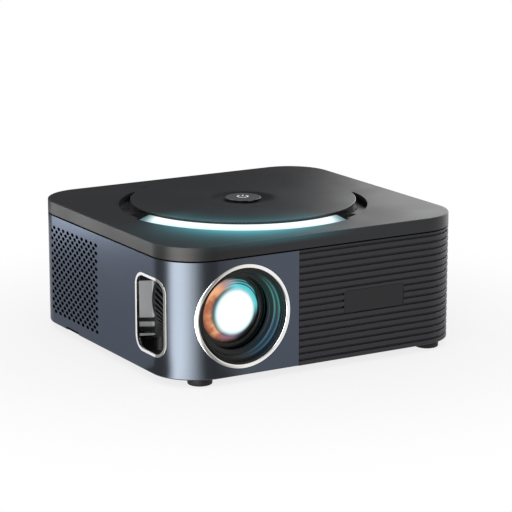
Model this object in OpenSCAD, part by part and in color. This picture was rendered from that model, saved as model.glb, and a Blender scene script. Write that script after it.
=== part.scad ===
// Desktop projector with a disc player under its round flip-up lid.
// The lens looks along -Y, +X is to the right of someone who faces it, and Z is up.
// The origin is on the surface that the feet stand on, under the middle of the body.

/* [Body] */
// Width of the body, left to right
body_w = 230; // [222:1:260]
// Depth of the body, front to back
body_d = 215; // [212:1:240]
// Height of the side walls
shell_h = 79.5; // [78:0.5:95]
// Dark shadow gap between the walls and the top cap
seam_gap = 1; // [0.6:0.1:2]
// Height of the top cap
cap_h = 9.2; // [8.8:0.1:13]
// Radius of the four upright corners
corner_r = 32.5; // [28:0.5:36]
// Thickness of the walls
wall = 2.6; // [2.2:0.1:3.4]
// Thickness of the bottom cover
base_t = 2.5; // [2:0.1:3.5]
// Clearance between fixed pieces of the case
fit = 0.15; // [0.1:0.01:0.25]
// Radial running clearance of a shaft in its bore
run = 0.05; // [0.03:0.01:0.08]
// Clearance between a moving piece and what it passes
gap = 0.3; // [0.2:0.05:0.5]

/* [Feet and base] */
// Height of the feet
foot_h = 5; // [3:0.5:10]
// Radius of a foot
foot_r = 8.35; // [6:0.05:10]
// Distance from the side wall to the middle of a foot
foot_inset_x = 24.2; // [20:0.1:40]
// Distance from the front or back to the middle of a foot
foot_inset_y = 12; // [11.5:0.1:20]
// Radius of the threaded hole for a tripod
tripod_r = 2.55; // [2:0.05:4]
// Depth of the threaded hole for a tripod
tripod_l = 8; // [6:0.5:10]

/* [Side vent] */
// Distance from the back to the middle of the vent
vent_inset = 66; // [62:0.5:70]
// Height of the vent's middle above the bottom of the walls
vent_mid = 40.5; // [38:0.5:41]
// Length of the field of holes
vent_l = 75; // [50:1:76]
// Height of the field of holes
vent_h = 62; // [40:1:64]
// Diameter of a hole
vent_hole_d = 2; // [1.5:0.1:2.4]
// Distance between holes along a row
vent_hole_pitch = 7.3; // [6:0.1:9]
// Distance between rows
vent_row_pitch = 2.8; // [2.6:0.1:4]

/* [Focus window] */
// Distance from the front to the middle of the window
window_inset = 37.75; // [36.5:0.25:41]
// Height of the window's middle above the bottom of the walls
window_mid = 39.5; // [38:0.5:41]
// Length of the window with its frame
window_l = 37.5; // [30:0.5:39]
// Height of the window with its frame
window_h = 54; // [44:0.5:58]
// Radius of the window's corners
window_r = 10; // [6:0.5:12]
// Width of the window's bright frame
window_frame = 3.2; // [2:0.1:4]

/* [Ribbed grille] */
// Distance from the lens axis to where the ribs start
smooth_front = 42; // [39:0.5:46]
// Distance from rib to rib
rib_pitch = 4.6; // [4:0.1:6]
// Height of the groove between two ribs
groove_h = 1.9; // [1.4:0.1:2.4]
// Depth of a groove
groove_d = 1.4; // [1:0.1:1.6]
// Distance from where the ribs start to the blank plate
label_inset = 36; // [26:0.5:42]
// Width of the blank plate
label_w = 48; // [30:1:60]
// Height of the blank plate
label_h = 15.5; // [12:0.5:20]
// Height of the plate's middle above the bottom of the walls
label_mid = 39.25; // [34:0.25:44]

/* [Lens] */
// Distance from the left side to the lens axis
lens_inset = 51.5; // [50:0.5:55]
// Height of the lens axis above the bottom of the walls
lens_h = 40; // [38:0.5:42]
// Outer radius of the bright ring round the lens
bezel_r = 35.3; // [33:0.1:36]
// Width of the bright ring round the lens
bezel_w = 2.8; // [2:0.1:3.4]
// Depth of the black hood from the front
hood_l = 13.5; // [12:0.5:14]
// Depth of the front glass from the front
glass_depth = 16; // [16:0.5:18]
// Outer radius of the lens barrel
barrel_r = 26; // [25:0.5:27]
// Outer radius of the focus ring
focus_r = 33.6; // [32.5:0.1:34.2]
// Length of the focus ring
focus_l = 31.5; // [26:0.5:33]
// Number of ribs round the focus ring
focus_ribs = 48; // [24:2:60]

/* [Optical engine] */
// Width of the engine's box
engine_w = 59; // [52:1:60]
// Length of the engine's box
engine_l = 84; // [76:1:86]
// Height of the engine's box
engine_h = 49; // [48:1:50]
// Thickness of the engine's walls
engine_wall = 3; // [2:0.5:4]
// Distance from the front of the engine's box to the LCD panel
panel_depth = 34; // [30:1:38]
// Air space between the heat sink and the rear panel
sink_air = 12.9; // [10:0.1:25]
// Number of fins on the heat sink
fin_count = 13; // [8:1:16]
// Radius of a heat pipe
pipe_r = 3; // [2:0.5:4]

/* [Fan] */
// Width and height of the fan's frame
fan_size = 60; // [50:1:60]
// Thickness of the fan
fan_t = 15; // [12:1:15]
// Height of the fan's feet
fan_leg = 6; // [4:0.5:8]
// Number of blades
blade_count = 7; // [5:1:9]

/* [Top cap and light ring] */
// Middle of the lid, towards the back
lid_y = 3.2; // [2:0.1:5]
// Radius of the opening that the disc well fills
opening_r = 80.6; // [80.3:0.1:81.5]
// Outer radius of the channel round the lid
channel_r = 91; // [88:0.5:92]
// Thickness of the cap under the channel
channel_floor = 2.5; // [2:0.1:3]
// Angle at which the lit strip starts, on the left
strip_a0 = 186; // [180:1:200]
// Angle at which the lit strip ends, on the right
strip_a1 = 293; // [280:1:345]
// Rise of the strip's inner edge over its outer edge
strip_rise = 1.6; // [0:0.1:2]
// Free angle between each end of the strip and the channel's end
channel_gap_a = 5; // [3:0.5:9]
// Width of the flush bridge between the channel and a finger scoop, as an angle
bridge_a = 7; // [5:1:9]
// Length of a finger scoop, as an angle
scoop_a = 37; // [20:1:40]
// Width of a finger scoop
scoop_w = 9; // [7:0.5:10]

/* [Lid] */
// Radius of the lid
lid_r = 79.8; // [79:0.1:80.1]
// Height of the lid's top over the cap
lid_rise = 3.7; // [3.6:0.1:5]
// Thickness of the lid's rim
lid_t = 2.1; // [1.6:0.1:2.4]
// Radius of the shallow dish round the button
dish_r = 22.5; // [18:0.5:26]
// Depth of the dish
dish_depth = 1.6; // [1:0.1:1.8]
// Radius of the power button
button_r = 11.8; // [9:0.1:13]
// Travel of the power button
button_travel = 0.8; // [0.4:0.1:0.8]
// Distance from the middle of the lid to each hinge arm
hinge_x = 28; // [24:0.5:32]
// Width of a hinge arm
arm_w = 7; // [5:0.5:8]
// Radius of a hinge knuckle
knuckle_r = 3; // [2.6:0.1:3]
// Radius of a hinge pin
hinge_pin_r = 1.2; // [0.8:0.1:1.4]

/* [Disc player] */
// Radius of the disc that it plays
disc_r = 60; // [60:0.5:61]
// Clearance between the disc and the wall of the well
disc_clear = 2; // [1.5:0.1:3]
// Depth of the well under the disc
well_under = 2.6; // [2.2:0.1:3]
// Thickness of the well's floor
well_t = 2; // [1.6:0.1:2.4]
// Radius of the turntable
hub_r = 14; // [12:0.5:14.5]
// Radius of the cone that centres the disc
cone_r = 7.45; // [7.2:0.05:7.5]
// Radius of the motor shaft
shaft_r = 0.95; // [0.75:0.05:1.2]
// Radius of the guide rods and the lead screw
rod_r = 1.5; // [1.2:0.1:2]
// Distance from the middle to each guide rod
rod_offset = 20; // [19:0.5:22]
// How far the pickup travels
sled_travel = 34; // [30:1:35]

/* [Rear panel] */
// Height of the sockets above the bottom of the walls
socket_h = 24; // [22:0.5:30]
// Height of the mains inlet above the bottom of the walls
inlet_h = 52; // [50:0.5:56]
// Distance from the right end of the panel to the middle of the mains inlet
inlet_inset = 22.5; // [18:0.5:30]
// Width of the exhaust slots
exhaust_w = 54; // [40:1:56]

/* [Hidden] */
$fn = 96;

half_w = body_w / 2;
half_d = body_d / 2;
over = 1;
base_recess = 0.4;
pad_proud = 0.4;
z_wall = foot_h + shell_h;
z_cap = z_wall + seam_gap;
z_top = z_cap + cap_h;
z_lid = z_top + lid_rise;
z_floor = foot_h + base_t + base_recess;
inner_inset = wall + fit;
rear_split = half_w - corner_r;

lens_x = -half_w + lens_inset;
lens_z = foot_h + lens_h;
lens_y = -half_d;
split_x = lens_x + smooth_front;
label_x = split_x + label_inset;
label_z = foot_h + label_mid;
vent_y = half_d - vent_inset;
vent_z = foot_h + vent_mid;
window_y = -half_d + window_inset;
window_z = foot_h + window_mid;
mount_r = barrel_r + 2;
glass_r = barrel_r - 4;
engine_y = lens_y + 69.5;
mount_l = 33.5;
focus_y = engine_y - 4 - gap - focus_l;
barrel_y = lens_y + glass_depth + 1;
barrel_l = 44;
engine_z0 = lens_z - engine_h / 2 - 2;
engine_z1 = engine_z0 + engine_h;
field_depth = panel_depth - 10;
fresnel_depth = panel_depth + 8;
condenser_y = engine_y + engine_l - 24;
led_t = 6;
sink_y = engine_y + engine_l + led_t;
sink_l = half_d - wall - sink_air - sink_y;

z_channel = z_cap + channel_floor;
strip_r0 = opening_r + 0.4;
strip_r1 = channel_r - 0.4;
z_strip = z_top - 0.7;
board_t = 1;
channel_a0 = strip_a0 - channel_gap_a;
channel_a1 = strip_a1 + channel_gap_a;
scoop_a1 = channel_a0 - bridge_a;
scoop_a0 = scoop_a1 - scoop_a;

z_disc = z_cap + 0.5;
z_well = z_disc - well_under;
well_r = disc_r + disc_clear;
deck_r = opening_r - gap - 0.1;
deck_skirt = deck_r - 2.2;
z_deck = z_top - 2.4;
well_flange_r = channel_r - 1;

hinge_y = lid_y + lid_r + 1;
hinge_z = z_cap + 4.5;
pocket_half = arm_w / 2 + gap;
boss_w = 4;

z_lid_under = z_lid - lid_t;
z_dish = z_lid - dish_depth;
button_t = 2.4;
z_button = z_lid + 0.5 - button_t;
z_button_floor = z_button - button_travel - gap;
liner_r = lid_r - 5.8;
z_liner = z_button_floor - 2.2;
liner_t = 1.2;
clamp_r = 12;
clamp_flange_r = 15;
cage_lip = 1;
z_clamp = z_disc + 1.6;

z_rod = z_well - well_t - 5.4;
z_chassis = z_rod - 5;
chassis_t = 2;
sled_in = hub_r + 1.5;
sled_len = 20;
rod_x1 = sled_in + sled_len + sled_travel + 3;
screw_offset = rod_offset - 4.5;
lens_in = sled_in + 7.5;
pickup_r = 3.5;

board_thick = 1.6;
z_main = foot_h + socket_h - 6;
main_x0 = lens_x + engine_w / 2 + 6;
main_x1 = rear_split;
main_y0 = 25;
main_y1 = half_d - wall - 3.4;
speaker_h = 54;
speaker_box_t = 22;
speaker_gap = 4;
speaker_inset = inner_inset + speaker_gap + speaker_box_t;
tripod_boss_r = 8;
power_x0 = tripod_boss_r + 4;
power_x1 = half_w - speaker_inset - 8.25;
power_y0 = -half_d + speaker_inset + 4.75;
power_y1 = main_y0 - 10;
z_power = z_floor + 6;
inlet_x = rear_split - inlet_inset;
fan_x0 = -half_w + inner_inset + gap;
fan_z = z_floor + fan_leg + fan_size / 2;

// ---- Outlines and helpers ----

module rounded_2d(inset = 0) {
    w = body_w - 2 * inset;
    d = body_d - 2 * inset;
    r = corner_r - inset;
    square([w - 2 * r, d], center = true);
    square([w, d - 2 * r], center = true);
    for (sx = [-1, 1], sy = [-1, 1])
        translate([sx * (w / 2 - r), sy * (d / 2 - r)]) circle(r);
}

module wall_2d(outer, inner) {
    difference() {
        rounded_2d(outer);
        rounded_2d(inner);
    }
}

module smooth_side_2d() {
    far = body_w;
    polygon([[-far, -far], [split_x - fit / 2, -far], [split_x - fit / 2, 0], [-rear_split - fit / 2, 0],
        [-rear_split - fit / 2, far], [-far, far]]);
}

module ribbed_side_2d() {
    far = body_w;
    polygon([[split_x + fit / 2, -far], [far, -far], [far, far], [rear_split + fit / 2, far],
        [rear_split + fit / 2, 0], [split_x + fit / 2, 0]]);
}

module wedge_2d(r, a0, a1) {
    steps = 6;
    polygon(concat([[0, 0]], [for (i = [0:steps])
        let (a = a0 + (a1 - a0) * i / steps) 1.6 * r * [cos(a), sin(a)]]));
}

module arc_2d(r0, r1, a0, a1) {
    intersection() {
        difference() {
            circle(r1);
            circle(r0);
        }
        wedge_2d(r1, a0, a1);
    }
}

module about_lid(z) {
    translate([0, lid_y, z]) children();
}

module rod_y(x, z, y0, y1, r) {
    translate([x, y1, z]) rotate([90, 0, 0]) cylinder(h = y1 - y0, r = r);
}

module rod_x(y, z, x0, x1, r) {
    translate([x0, y, z]) rotate([0, 90, 0]) cylinder(h = x1 - x0, r = r);
}

module box(x0, x1, y0, y1, z0, z1) {
    translate([x0, y0, z0]) cube([x1 - x0, y1 - y0, z1 - z0]);
}

module lens_turned(y) {
    translate([lens_x, y, lens_z]) rotate([-90, 0, 0]) rotate_extrude() children();
}

module window_2d(inset) {
    l = window_l - 2 * inset;
    h = window_h - 2 * inset;
    r = max(window_r - inset, 1);
    translate([window_y, window_z]) {
        square([l - 2 * r, h], center = true);
        square([l, h - 2 * r], center = true);
        for (sx = [-1, 1], sy = [-1, 1])
            translate([sx * (l / 2 - r), sy * (h / 2 - r)]) circle(r);
    }
}

module window_prism(inset) {
    translate([-half_w - over, 0, 0]) rotate([90, 0, 90]) linear_extrude(corner_r) window_2d(inset);
}

// ---- Case ----

module foot_places() {
    for (sx = [-1, 1], sy = [-1, 1])
        translate([sx * (half_w - foot_inset_x), sy * (half_d - foot_inset_y), 0]) children();
}

screw_r = 1.5;
screw_head_r = 2.9;
intake_slots = 8;
intake_pitch = 8;
intake_w = 3;

module screw_places() {
    for (x = [-half_w + 22, 0, half_w - 22], y = [-half_d + 47.5, half_d - 45.5])
        translate([x, y, 0]) children();
}

module board_posts(x0, x1, y0, y1, z) {
    for (x = [x0 + 6, x1 - 6], y = [y0 + 6, y1 - 6])
        translate([x, y, z_floor - over / 2]) cylinder(h = z - z_floor + over / 2, r = 3.5);
}

module base_plate() color("#1b1c1e") difference() {
    union() {
        translate([0, 0, foot_h + base_recess]) linear_extrude(base_t) rounded_2d(inner_inset);
        screw_places() translate([0, 0, z_floor - over / 2]) cylinder(h = 7, r = 3.6);
        translate([0, 0, z_floor - over / 2]) cylinder(h = tripod_l + 1, r = tripod_boss_r);
        board_posts(main_x0, main_x1, main_y0, main_y1, z_main);
        board_posts(power_x0, power_x1, power_y0, power_y1, z_power);
    }
    translate([0, 0, foot_h]) cylinder(h = tripod_l + 1, r = tripod_r + 2);
    screw_places() {
        cylinder(h = z_floor + 6, r = screw_r + fit);
        translate([0, 0, foot_h]) cylinder(h = 1.9, r = screw_head_r + gap);
    }
    for (i = [0:intake_slots - 1]) {
        y = engine_y + 18 + i * intake_pitch;
        box(-half_w + 34, -half_w + 80, y, y + intake_w, foot_h, z_floor + over);
    }
}

module feet() color("#121314") foot_places() difference() {
    union() {
        translate([0, 0, pad_proud]) cylinder(h = foot_h - pad_proud, r = foot_r);
        cylinder(h = foot_h + base_recess, r = foot_r - 2.4);
    }
    translate([0, 0, -over]) cylinder(h = 1.4 + over, r = foot_r - 1.5);
}

module foot_pads() color("#2a2a2b") foot_places()
    cylinder(h = 1.4, r = foot_r - 1.5 - fit);

module tripod_insert() color("#b08d3f") translate([0, 0, foot_h + base_recess]) difference() {
    cylinder(h = tripod_l, r = tripod_r + 2);
    translate([0, 0, -over]) cylinder(h = tripod_l + 2 * over, r = tripod_r);
}

module case_screws() color("#2b2b2d") screw_places() {
    translate([0, 0, foot_h + 0.5]) cylinder(h = 1.4, r = screw_head_r);
    translate([0, 0, foot_h + 1.9]) cylinder(h = 6, r = screw_r);
}

vent_rows = floor(vent_h / vent_row_pitch);
vent_cols = floor(vent_l / vent_hole_pitch);

module vent_holes() {
    z0 = vent_z - vent_row_pitch * vent_rows / 2;
    y0 = vent_y - vent_hole_pitch * vent_cols / 2;
    for (row = [0:vent_rows], col = [0:vent_cols - 1])
        rod_x(y0 + vent_hole_pitch * (col + (row % 2 == 0 ? 0.25 : 0.75)), z0 + row * vent_row_pitch,
            -half_w - over, -half_w + wall + over, vent_hole_d / 2);
}

notch_y = vent_y + 4.5;
notch_l = 20;
notch_h = 2.4;

module side_shell() color("#4b5563") difference() {
    translate([0, 0, foot_h]) linear_extrude(shell_h) intersection() {
        wall_2d(0, wall);
        smooth_side_2d();
    }
    vent_holes();
    window_prism(-fit);
    rod_y(lens_x, lens_z, lens_y - over, lens_y + corner_r, bezel_r + fit);
    box(-half_w - over, -half_w + wall + over, notch_y - notch_l / 2, notch_y + notch_l / 2,
        foot_h - over, foot_h + notch_h);
}

rib_count = floor(shell_h / rib_pitch);
rib_h = rib_pitch - groove_h;

module label_seat(grow) {
    box(label_x - grow, label_x + label_w + grow, -half_d - over, -half_d + groove_d,
        label_z - label_h / 2 - grow, label_z + label_h / 2 + grow);
}

module ribbed_grille() color("#2c2c2f") difference() {
    translate([0, 0, foot_h]) union() {
        linear_extrude(shell_h) intersection() {
            wall_2d(groove_d, wall);
            ribbed_side_2d();
        }
        for (i = [0:rib_count])
            translate([0, 0, i * rib_pitch]) linear_extrude(min(rib_h, shell_h - i * rib_pitch))
                intersection() {
                    wall_2d(0, wall);
                    ribbed_side_2d();
                }
    }
    label_seat(fit);
}

module label_plate() color("#141416") intersection() {
    label_seat(0);
    box(-half_w, half_w, -half_d + 0.2, 0, 0, z_top);
}

exhaust_x = lens_x + 13.5;
exhaust_low = 16;
exhaust_slots = 9;
exhaust_pitch = 6;
exhaust_slot_h = 3;

module rear_panel() color("#1f2023") difference() {
    box(-rear_split + fit / 2, rear_split - fit / 2, half_d - wall, half_d, foot_h, z_wall);
    for (i = [0:exhaust_slots - 1]) {
        z = foot_h + exhaust_low + i * exhaust_pitch;
        box(exhaust_x - exhaust_w / 2, exhaust_x + exhaust_w / 2, half_d - wall - over, half_d + over,
            z, z + exhaust_slot_h);
    }
    for (x = hdmi_x) socket_hole(x, hdmi_w, hdmi_h);
    socket_hole(usb_x, usb_w, usb_h);
    rod_y(jack_x, z_main + board_thick + 3.6, half_d - wall - over, half_d + over, jack_r + fit);
    rod_y(ir_x, foot_h + inlet_h, half_d - wall - over, half_d + over, ir_r + fit);
    box(inlet_x - inlet_w / 2 - fit, inlet_x + inlet_w / 2 + fit, half_d - wall - over, half_d + over,
        foot_h + inlet_h - inlet_t / 2 - fit, foot_h + inlet_h + inlet_t / 2 + fit);
}

module seam_frame() color("#050506") translate([0, 0, z_wall])
    linear_extrude(seam_gap) wall_2d(0.9, wall + 4);

// ---- Top cap ----

module channel_cut() {
    about_lid(z_channel) linear_extrude(cap_h) {
        arc_2d(opening_r - over, channel_r, channel_a0, channel_a1);
        arc_2d(opening_r - over, channel_r, 62, 118);
    }
}

module scoop_cut() {
    about_lid(z_deck - 1.8) linear_extrude(cap_h) {
        arc_2d(opening_r - over, opening_r + scoop_w, scoop_a0, scoop_a1);
        arc_2d(opening_r - over, opening_r + scoop_w, strip_a0 + strip_a1 - scoop_a1,
            strip_a0 + strip_a1 - scoop_a0);
    }
}

module hinge_pockets() {
    for (s = [-1, 1])
        box(s * hinge_x - pocket_half, s * hinge_x + pocket_half, hinge_y - 9.5, hinge_y + knuckle_r + gap,
            hinge_z - knuckle_r - gap, z_top + over);
}

module hinge_bosses() {
    for (s = [-1, 1], side = [-1, 1]) {
        x = s * hinge_x + side * (pocket_half + boss_w / 2);
        box(x - boss_w / 2, x + boss_w / 2, hinge_y - knuckle_r, hinge_y + knuckle_r, z_cap + over, hinge_z);
        rod_x(hinge_y, hinge_z, x - boss_w / 2, x + boss_w / 2, knuckle_r);
    }
}

module top_cap() color("#3a3b3e") difference() {
    union() {
        difference() {
            translate([0, 0, z_cap]) linear_extrude(cap_h) rounded_2d();
            difference() {
                translate([0, 0, z_cap - over]) linear_extrude(cap_h - 2.5 + over) rounded_2d(wall);
                about_lid(z_cap - 2 * over) cylinder(h = cap_h + 3 * over, r = channel_r + 2.5);
            }
            about_lid(z_cap - over) cylinder(h = cap_h + 2 * over, r = opening_r);
            channel_cut();
            scoop_cut();
        }
        hinge_bosses();
    }
    hinge_pockets();
    for (s = [-1, 1]) rod_x(hinge_y, hinge_z, s * hinge_x - 9, s * hinge_x + 9, hinge_pin_r + 0.02);
}

module light_board() color("#1d5a34") about_lid(z_channel)
    linear_extrude(board_t) arc_2d(strip_r0 + 1, strip_r1 - 1, strip_a0, strip_a1);

module light_ring() color("#d9ffff") intersection() {
    about_lid(z_channel + board_t) linear_extrude(cap_h) arc_2d(strip_r0, strip_r1, strip_a0, strip_a1);
    about_lid(0) rotate_extrude()
        polygon([[strip_r0 - 1, z_channel], [strip_r1 + 1, z_channel], [strip_r1 + 1, z_strip],
            [strip_r1, z_strip], [strip_r0, z_strip + strip_rise], [strip_r0 - 1, z_strip + strip_rise]]);
}

module hinge_pins() color("#c4c6c8") {
    l = arm_w / 2 + gap + boss_w;
    for (s = [-1, 1]) rod_x(hinge_y, hinge_z, s * hinge_x - l, s * hinge_x + l, hinge_pin_r);
}

// ---- Window, lens and engine ----

module window_bezel() color("#d5d8dc") intersection() {
    difference() {
        window_prism(0);
        window_prism(window_frame);
    }
    linear_extrude(z_top) wall_2d(0, wall + 1.6);
}

module lens_bezel() color("#e6e8ea") intersection() {
    difference() {
        rod_y(lens_x, lens_z, lens_y - over, lens_y + 12, bezel_r);
        rod_y(lens_x, lens_z, lens_y - 2 * over, lens_y + 13, bezel_r - bezel_w);
    }
    linear_extrude(z_top) wall_2d(0, wall + 0.4);
}

hood_r = bezel_r - bezel_w - fit;

module lens_hood() color("#0b0b0c") {
    intersection() {
        lens_turned(lens_y)
            polygon([[hood_r - 1.2, 0], [hood_r, 0], [hood_r, hood_l - 4], [barrel_r + 1.8, hood_l - 2],
                [barrel_r + 1.8, hood_l], [barrel_r - 0.8, hood_l], [barrel_r - 0.8, hood_l - 3],
                [barrel_r + 2, hood_l - 4.5], [hood_r - 3, 4], [hood_r - 1.2, 4]]);
        linear_extrude(z_top) rounded_2d(0.8);
    }
    intersection() {
        difference() {
            rod_y(lens_x, lens_z, lens_y + wall + 0.6, lens_y + hood_l - 4.5, bezel_r + 2.2);
            rod_y(lens_x, lens_z, lens_y, lens_y + hood_l, hood_r - fit);
        }
        translate([0, 0, z_floor + fit]) linear_extrude(shell_h) rounded_2d(wall + 0.55);
    }
}

module lens_mount() color("#2a2b2d") difference() {
    union() {
        rod_y(lens_x, lens_z, engine_y - 4 - mount_l, engine_y, mount_r);
        rod_y(lens_x, lens_z, engine_y - 4, engine_y, mount_r + 4);
    }
    rod_y(lens_x, lens_z, engine_y - 6 - mount_l, engine_y + over, barrel_r + run);
}

module lens_barrel() color("#161617") difference() {
    rod_y(lens_x, lens_z, barrel_y, barrel_y + barrel_l, barrel_r);
    rod_y(lens_x, lens_z, barrel_y + 3, barrel_y + barrel_l + over, glass_r - 2);
    rod_y(lens_x, lens_z, barrel_y - over, barrel_y + 5, glass_r + 0.1);
    rod_y(lens_x, lens_z, barrel_y + barrel_l - 4, barrel_y + barrel_l + over, glass_r - 0.9);
}

module front_lens() color("#a9d8e8") {
    curve_r = 63;
    steps = 8;
    dome = [for (i = [0:steps]) let (r = glass_r * i / steps) [r, curve_r - sqrt(curve_r * curve_r - r * r)]];
    lens_turned(barrel_y) polygon(concat(dome, [[glass_r, 5], [0, 5]]));
}

module rear_lens() color("#b8dce8")
    rod_y(lens_x, lens_z, barrel_y + barrel_l - 4, barrel_y + barrel_l - 0.5, glass_r - 1);

module focus_ring() color("#0e0e0f") translate([lens_x, focus_y + focus_l, lens_z]) rotate([90, 0, 0])
    linear_extrude(focus_l) difference() {
        union() {
            circle(focus_r - 1.4);
            for (i = [0:focus_ribs - 1])
                rotate(i * 360 / focus_ribs) translate([focus_r - 2.4, -0.9]) square([2.4, 1.8]);
        }
        circle(mount_r + run);
    }

module engine_housing() color("#9a9da0") difference() {
    union() {
        box(lens_x - engine_w / 2, lens_x + engine_w / 2, engine_y, engine_y + engine_l,
            engine_z0, engine_z1);
        for (sx = [-1, 1], y = [engine_y + 8, engine_y + engine_l - 8])
            translate([lens_x + sx * (engine_w / 2 - 8), y, z_floor])
                cylinder(h = engine_z0 - z_floor + over, r = 4);
    }
    box(lens_x - engine_w / 2 + engine_wall, lens_x + engine_w / 2 - engine_wall, engine_y + 4,
        engine_y + engine_l + over, engine_z0 + engine_wall, engine_z1 - engine_wall);
    rod_y(lens_x, lens_z - 0.5, engine_y - over, engine_y + 6, glass_r - 2);
}

module engine_plate(y, t) {
    box(lens_x - engine_w / 2 + engine_wall + fit, lens_x + engine_w / 2 - engine_wall - fit, y, y + t,
        engine_z0 + engine_wall + fit, engine_z1 - engine_wall - fit);
}

module field_lens() color("#c8e4ea") engine_plate(engine_y + field_depth, 2);
module lcd_panel() color("#30384a") engine_plate(engine_y + panel_depth, 1.8);
module fresnel_lens() color("#c8e4ea") engine_plate(engine_y + fresnel_depth, 2);

module condenser_lens() color("#c8e4ea") {
    engine_plate(condenser_y, 2);
    rod_y(lens_x, lens_z - 2, condenser_y + 2, condenser_y + 12, 15);
}

module led_module() color("#b87333") {
    y = engine_y + engine_l;
    box(lens_x - engine_w / 2, lens_x + engine_w / 2, y, y + led_t, lens_z - engine_h / 2,
        lens_z + engine_h / 2 - 4);
    rod_y(lens_x, lens_z - 2, y - 2, y + over, 9);
}

pipe_places = [for (y = [sink_l / 4, sink_l * 3 / 4], z = [-13, 11]) [y, z]];

module heat_sink() color("#a7abae") difference() {
    union() {
        box(lens_x - engine_w / 2, lens_x + engine_w / 2, sink_y, sink_y + 4,
            lens_z - engine_h / 2, lens_z + engine_h / 2);
        for (i = [0:fin_count - 1]) {
            x = lens_x - engine_w / 2 + i * (engine_w - 1.2) / (fin_count - 1);
            box(x, x + 1.2, sink_y, sink_y + sink_l, lens_z - engine_h / 2, lens_z + engine_h / 2);
        }
        for (sx = [-1, 1])
            translate([lens_x + sx * (engine_w / 2 - 5), sink_y + 4, z_floor])
                cylinder(h = lens_z - engine_h / 2 - z_floor + over, r = 3);
    }
    for (p = pipe_places)
        rod_x(sink_y + p[0], lens_z + p[1], lens_x - engine_w, lens_x + engine_w, pipe_r + 0.02);
}

module heat_pipes() color("#b5713a") for (p = pipe_places)
    rod_x(sink_y + p[0], lens_z + p[1], lens_x - engine_w / 2 - over, lens_x + engine_w / 2 + over, pipe_r);

// ---- Fan ----

fan_hole_r = fan_size / 2 - 1.5;
fan_hub_r = 13;
fan_shaft_r = 1.5;

module fan_plane(x) {
    translate([fan_x0 + x, vent_y, fan_z]) rotate([90, 0, 90]) children();
}

module fan_frame() color("#161719") {
    fan_plane(0) linear_extrude(fan_t) difference() {
        union() {
            square(fan_size, center = true);
            for (s = [-1, 1])
                translate([s * (fan_size / 2 - 5) - 5, -fan_size / 2 - fan_leg]) square([10, fan_leg + over]);
        }
        circle(fan_hole_r);
        for (sy = [-1, 1], sz = [-1, 1])
            translate([sy * (fan_size / 2 - 4.5), sz * (fan_size / 2 - 4.5)]) circle(1.6);
    }
    fan_plane(fan_t - 2) linear_extrude(2) {
        circle(fan_hub_r);
        for (i = [0:2])
            rotate(i * 120 + 30) translate([fan_hub_r - 1, -2]) square([fan_hole_r - fan_hub_r + 1.7, 4]);
    }
    fan_plane(4) cylinder(h = fan_t - 5, r = fan_shaft_r - run);
}

module fan_rotor() color("#232427") {
    depth = fan_t - 2 - 1.2;
    difference() {
        union() {
            rod_x(vent_y, fan_z, fan_x0 + 0.8, fan_x0 + 0.8 + depth, fan_hub_r);
            for (i = [0:blade_count - 1])
                translate([fan_x0 + 0.8 + depth / 2, vent_y, fan_z]) rotate([i * 360 / blade_count, 0, 0])
                    rotate([0, 0, 38]) translate([-depth / 2, -0.6, fan_hub_r - 2])
                        cube([depth, 1.2, fan_hole_r - gap - fan_hub_r + 1.4]);
        }
        rod_x(vent_y, fan_z, fan_x0 + 3, fan_x0 + fan_t, fan_shaft_r);
    }
}

// ---- Boards, sockets and speakers ----

hdmi_x = [main_x0 + 20, main_x0 + 40];
hdmi_w = 15;
hdmi_h = 5.6;
usb_x = main_x0 + 59;
usb_w = 13.2;
usb_h = 6;
jack_x = main_x0 + 74;
jack_r = 3.2;
ir_x = hdmi_x[1];
ir_r = 3;
inlet_w = 22;
inlet_t = 14;

module socket_hole(x, w, h) {
    box(x - w / 2 - fit, x + w / 2 + fit, half_d - wall - over, half_d + over,
        z_main + board_thick + fit, z_main + board_thick + h + 3 * fit);
}

module socket_shell(x, w, h, depth) difference() {
    box(x - w / 2, x + w / 2, half_d - depth, half_d - 0.3, z_main + board_thick + 2 * fit,
        z_main + board_thick + 2 * fit + h);
    box(x - w / 2 + 0.6, x + w / 2 - 0.6, half_d - depth + 2, half_d + over,
        z_main + board_thick + 2 * fit + 0.6, z_main + board_thick + 2 * fit + h - 0.6);
}

module main_board() color("#164d33") {
    box(main_x0, main_x1, main_y0, main_y1, z_main, z_main + board_thick);
    translate([0, 0, z_main + board_thick]) {
        box(main_x0 + 28, main_x0 + 54, main_y0 + 15, main_y0 + 41, 0, 7);
        box(main_x0 + 64, main_x0 + 78, main_y0 + 20, main_y0 + 34, 0, 2);
        box(main_x1 - 20.5, main_x1 - 6.5, main_y0 + 20, main_y0 + 34, 0, 2);
        for (y = [25, 37]) translate([main_x0 + 12, main_y0 + y, 0]) cylinder(h = 9, r = 4);
    }
}

module hdmi_sockets() color("#b9bcc0") for (x = hdmi_x)
    socket_shell(x, hdmi_w, hdmi_h, 13);

module usb_socket() color("#b9bcc0") socket_shell(usb_x, usb_w, usb_h, 14);

module audio_jack() color("#101011") difference() {
    union() {
        box(jack_x - 4, jack_x + 4, half_d - 14, half_d - wall - 0.3, z_main + board_thick,
            z_main + board_thick + 7.5);
        rod_y(jack_x, z_main + board_thick + 3.6, half_d - wall - over, half_d - 0.3, jack_r);
    }
    rod_y(jack_x, z_main + board_thick + 3.6, half_d - 12, half_d + over, 1.8);
}

module ir_window() color("#2a0d12") {
    rod_y(ir_x, foot_h + inlet_h, half_d - wall - 1.2, half_d - 0.1, ir_r);
    rod_y(ir_x, foot_h + inlet_h, half_d - wall - 1.7, half_d - wall - 0.3, ir_r + 1.2);
}

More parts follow.
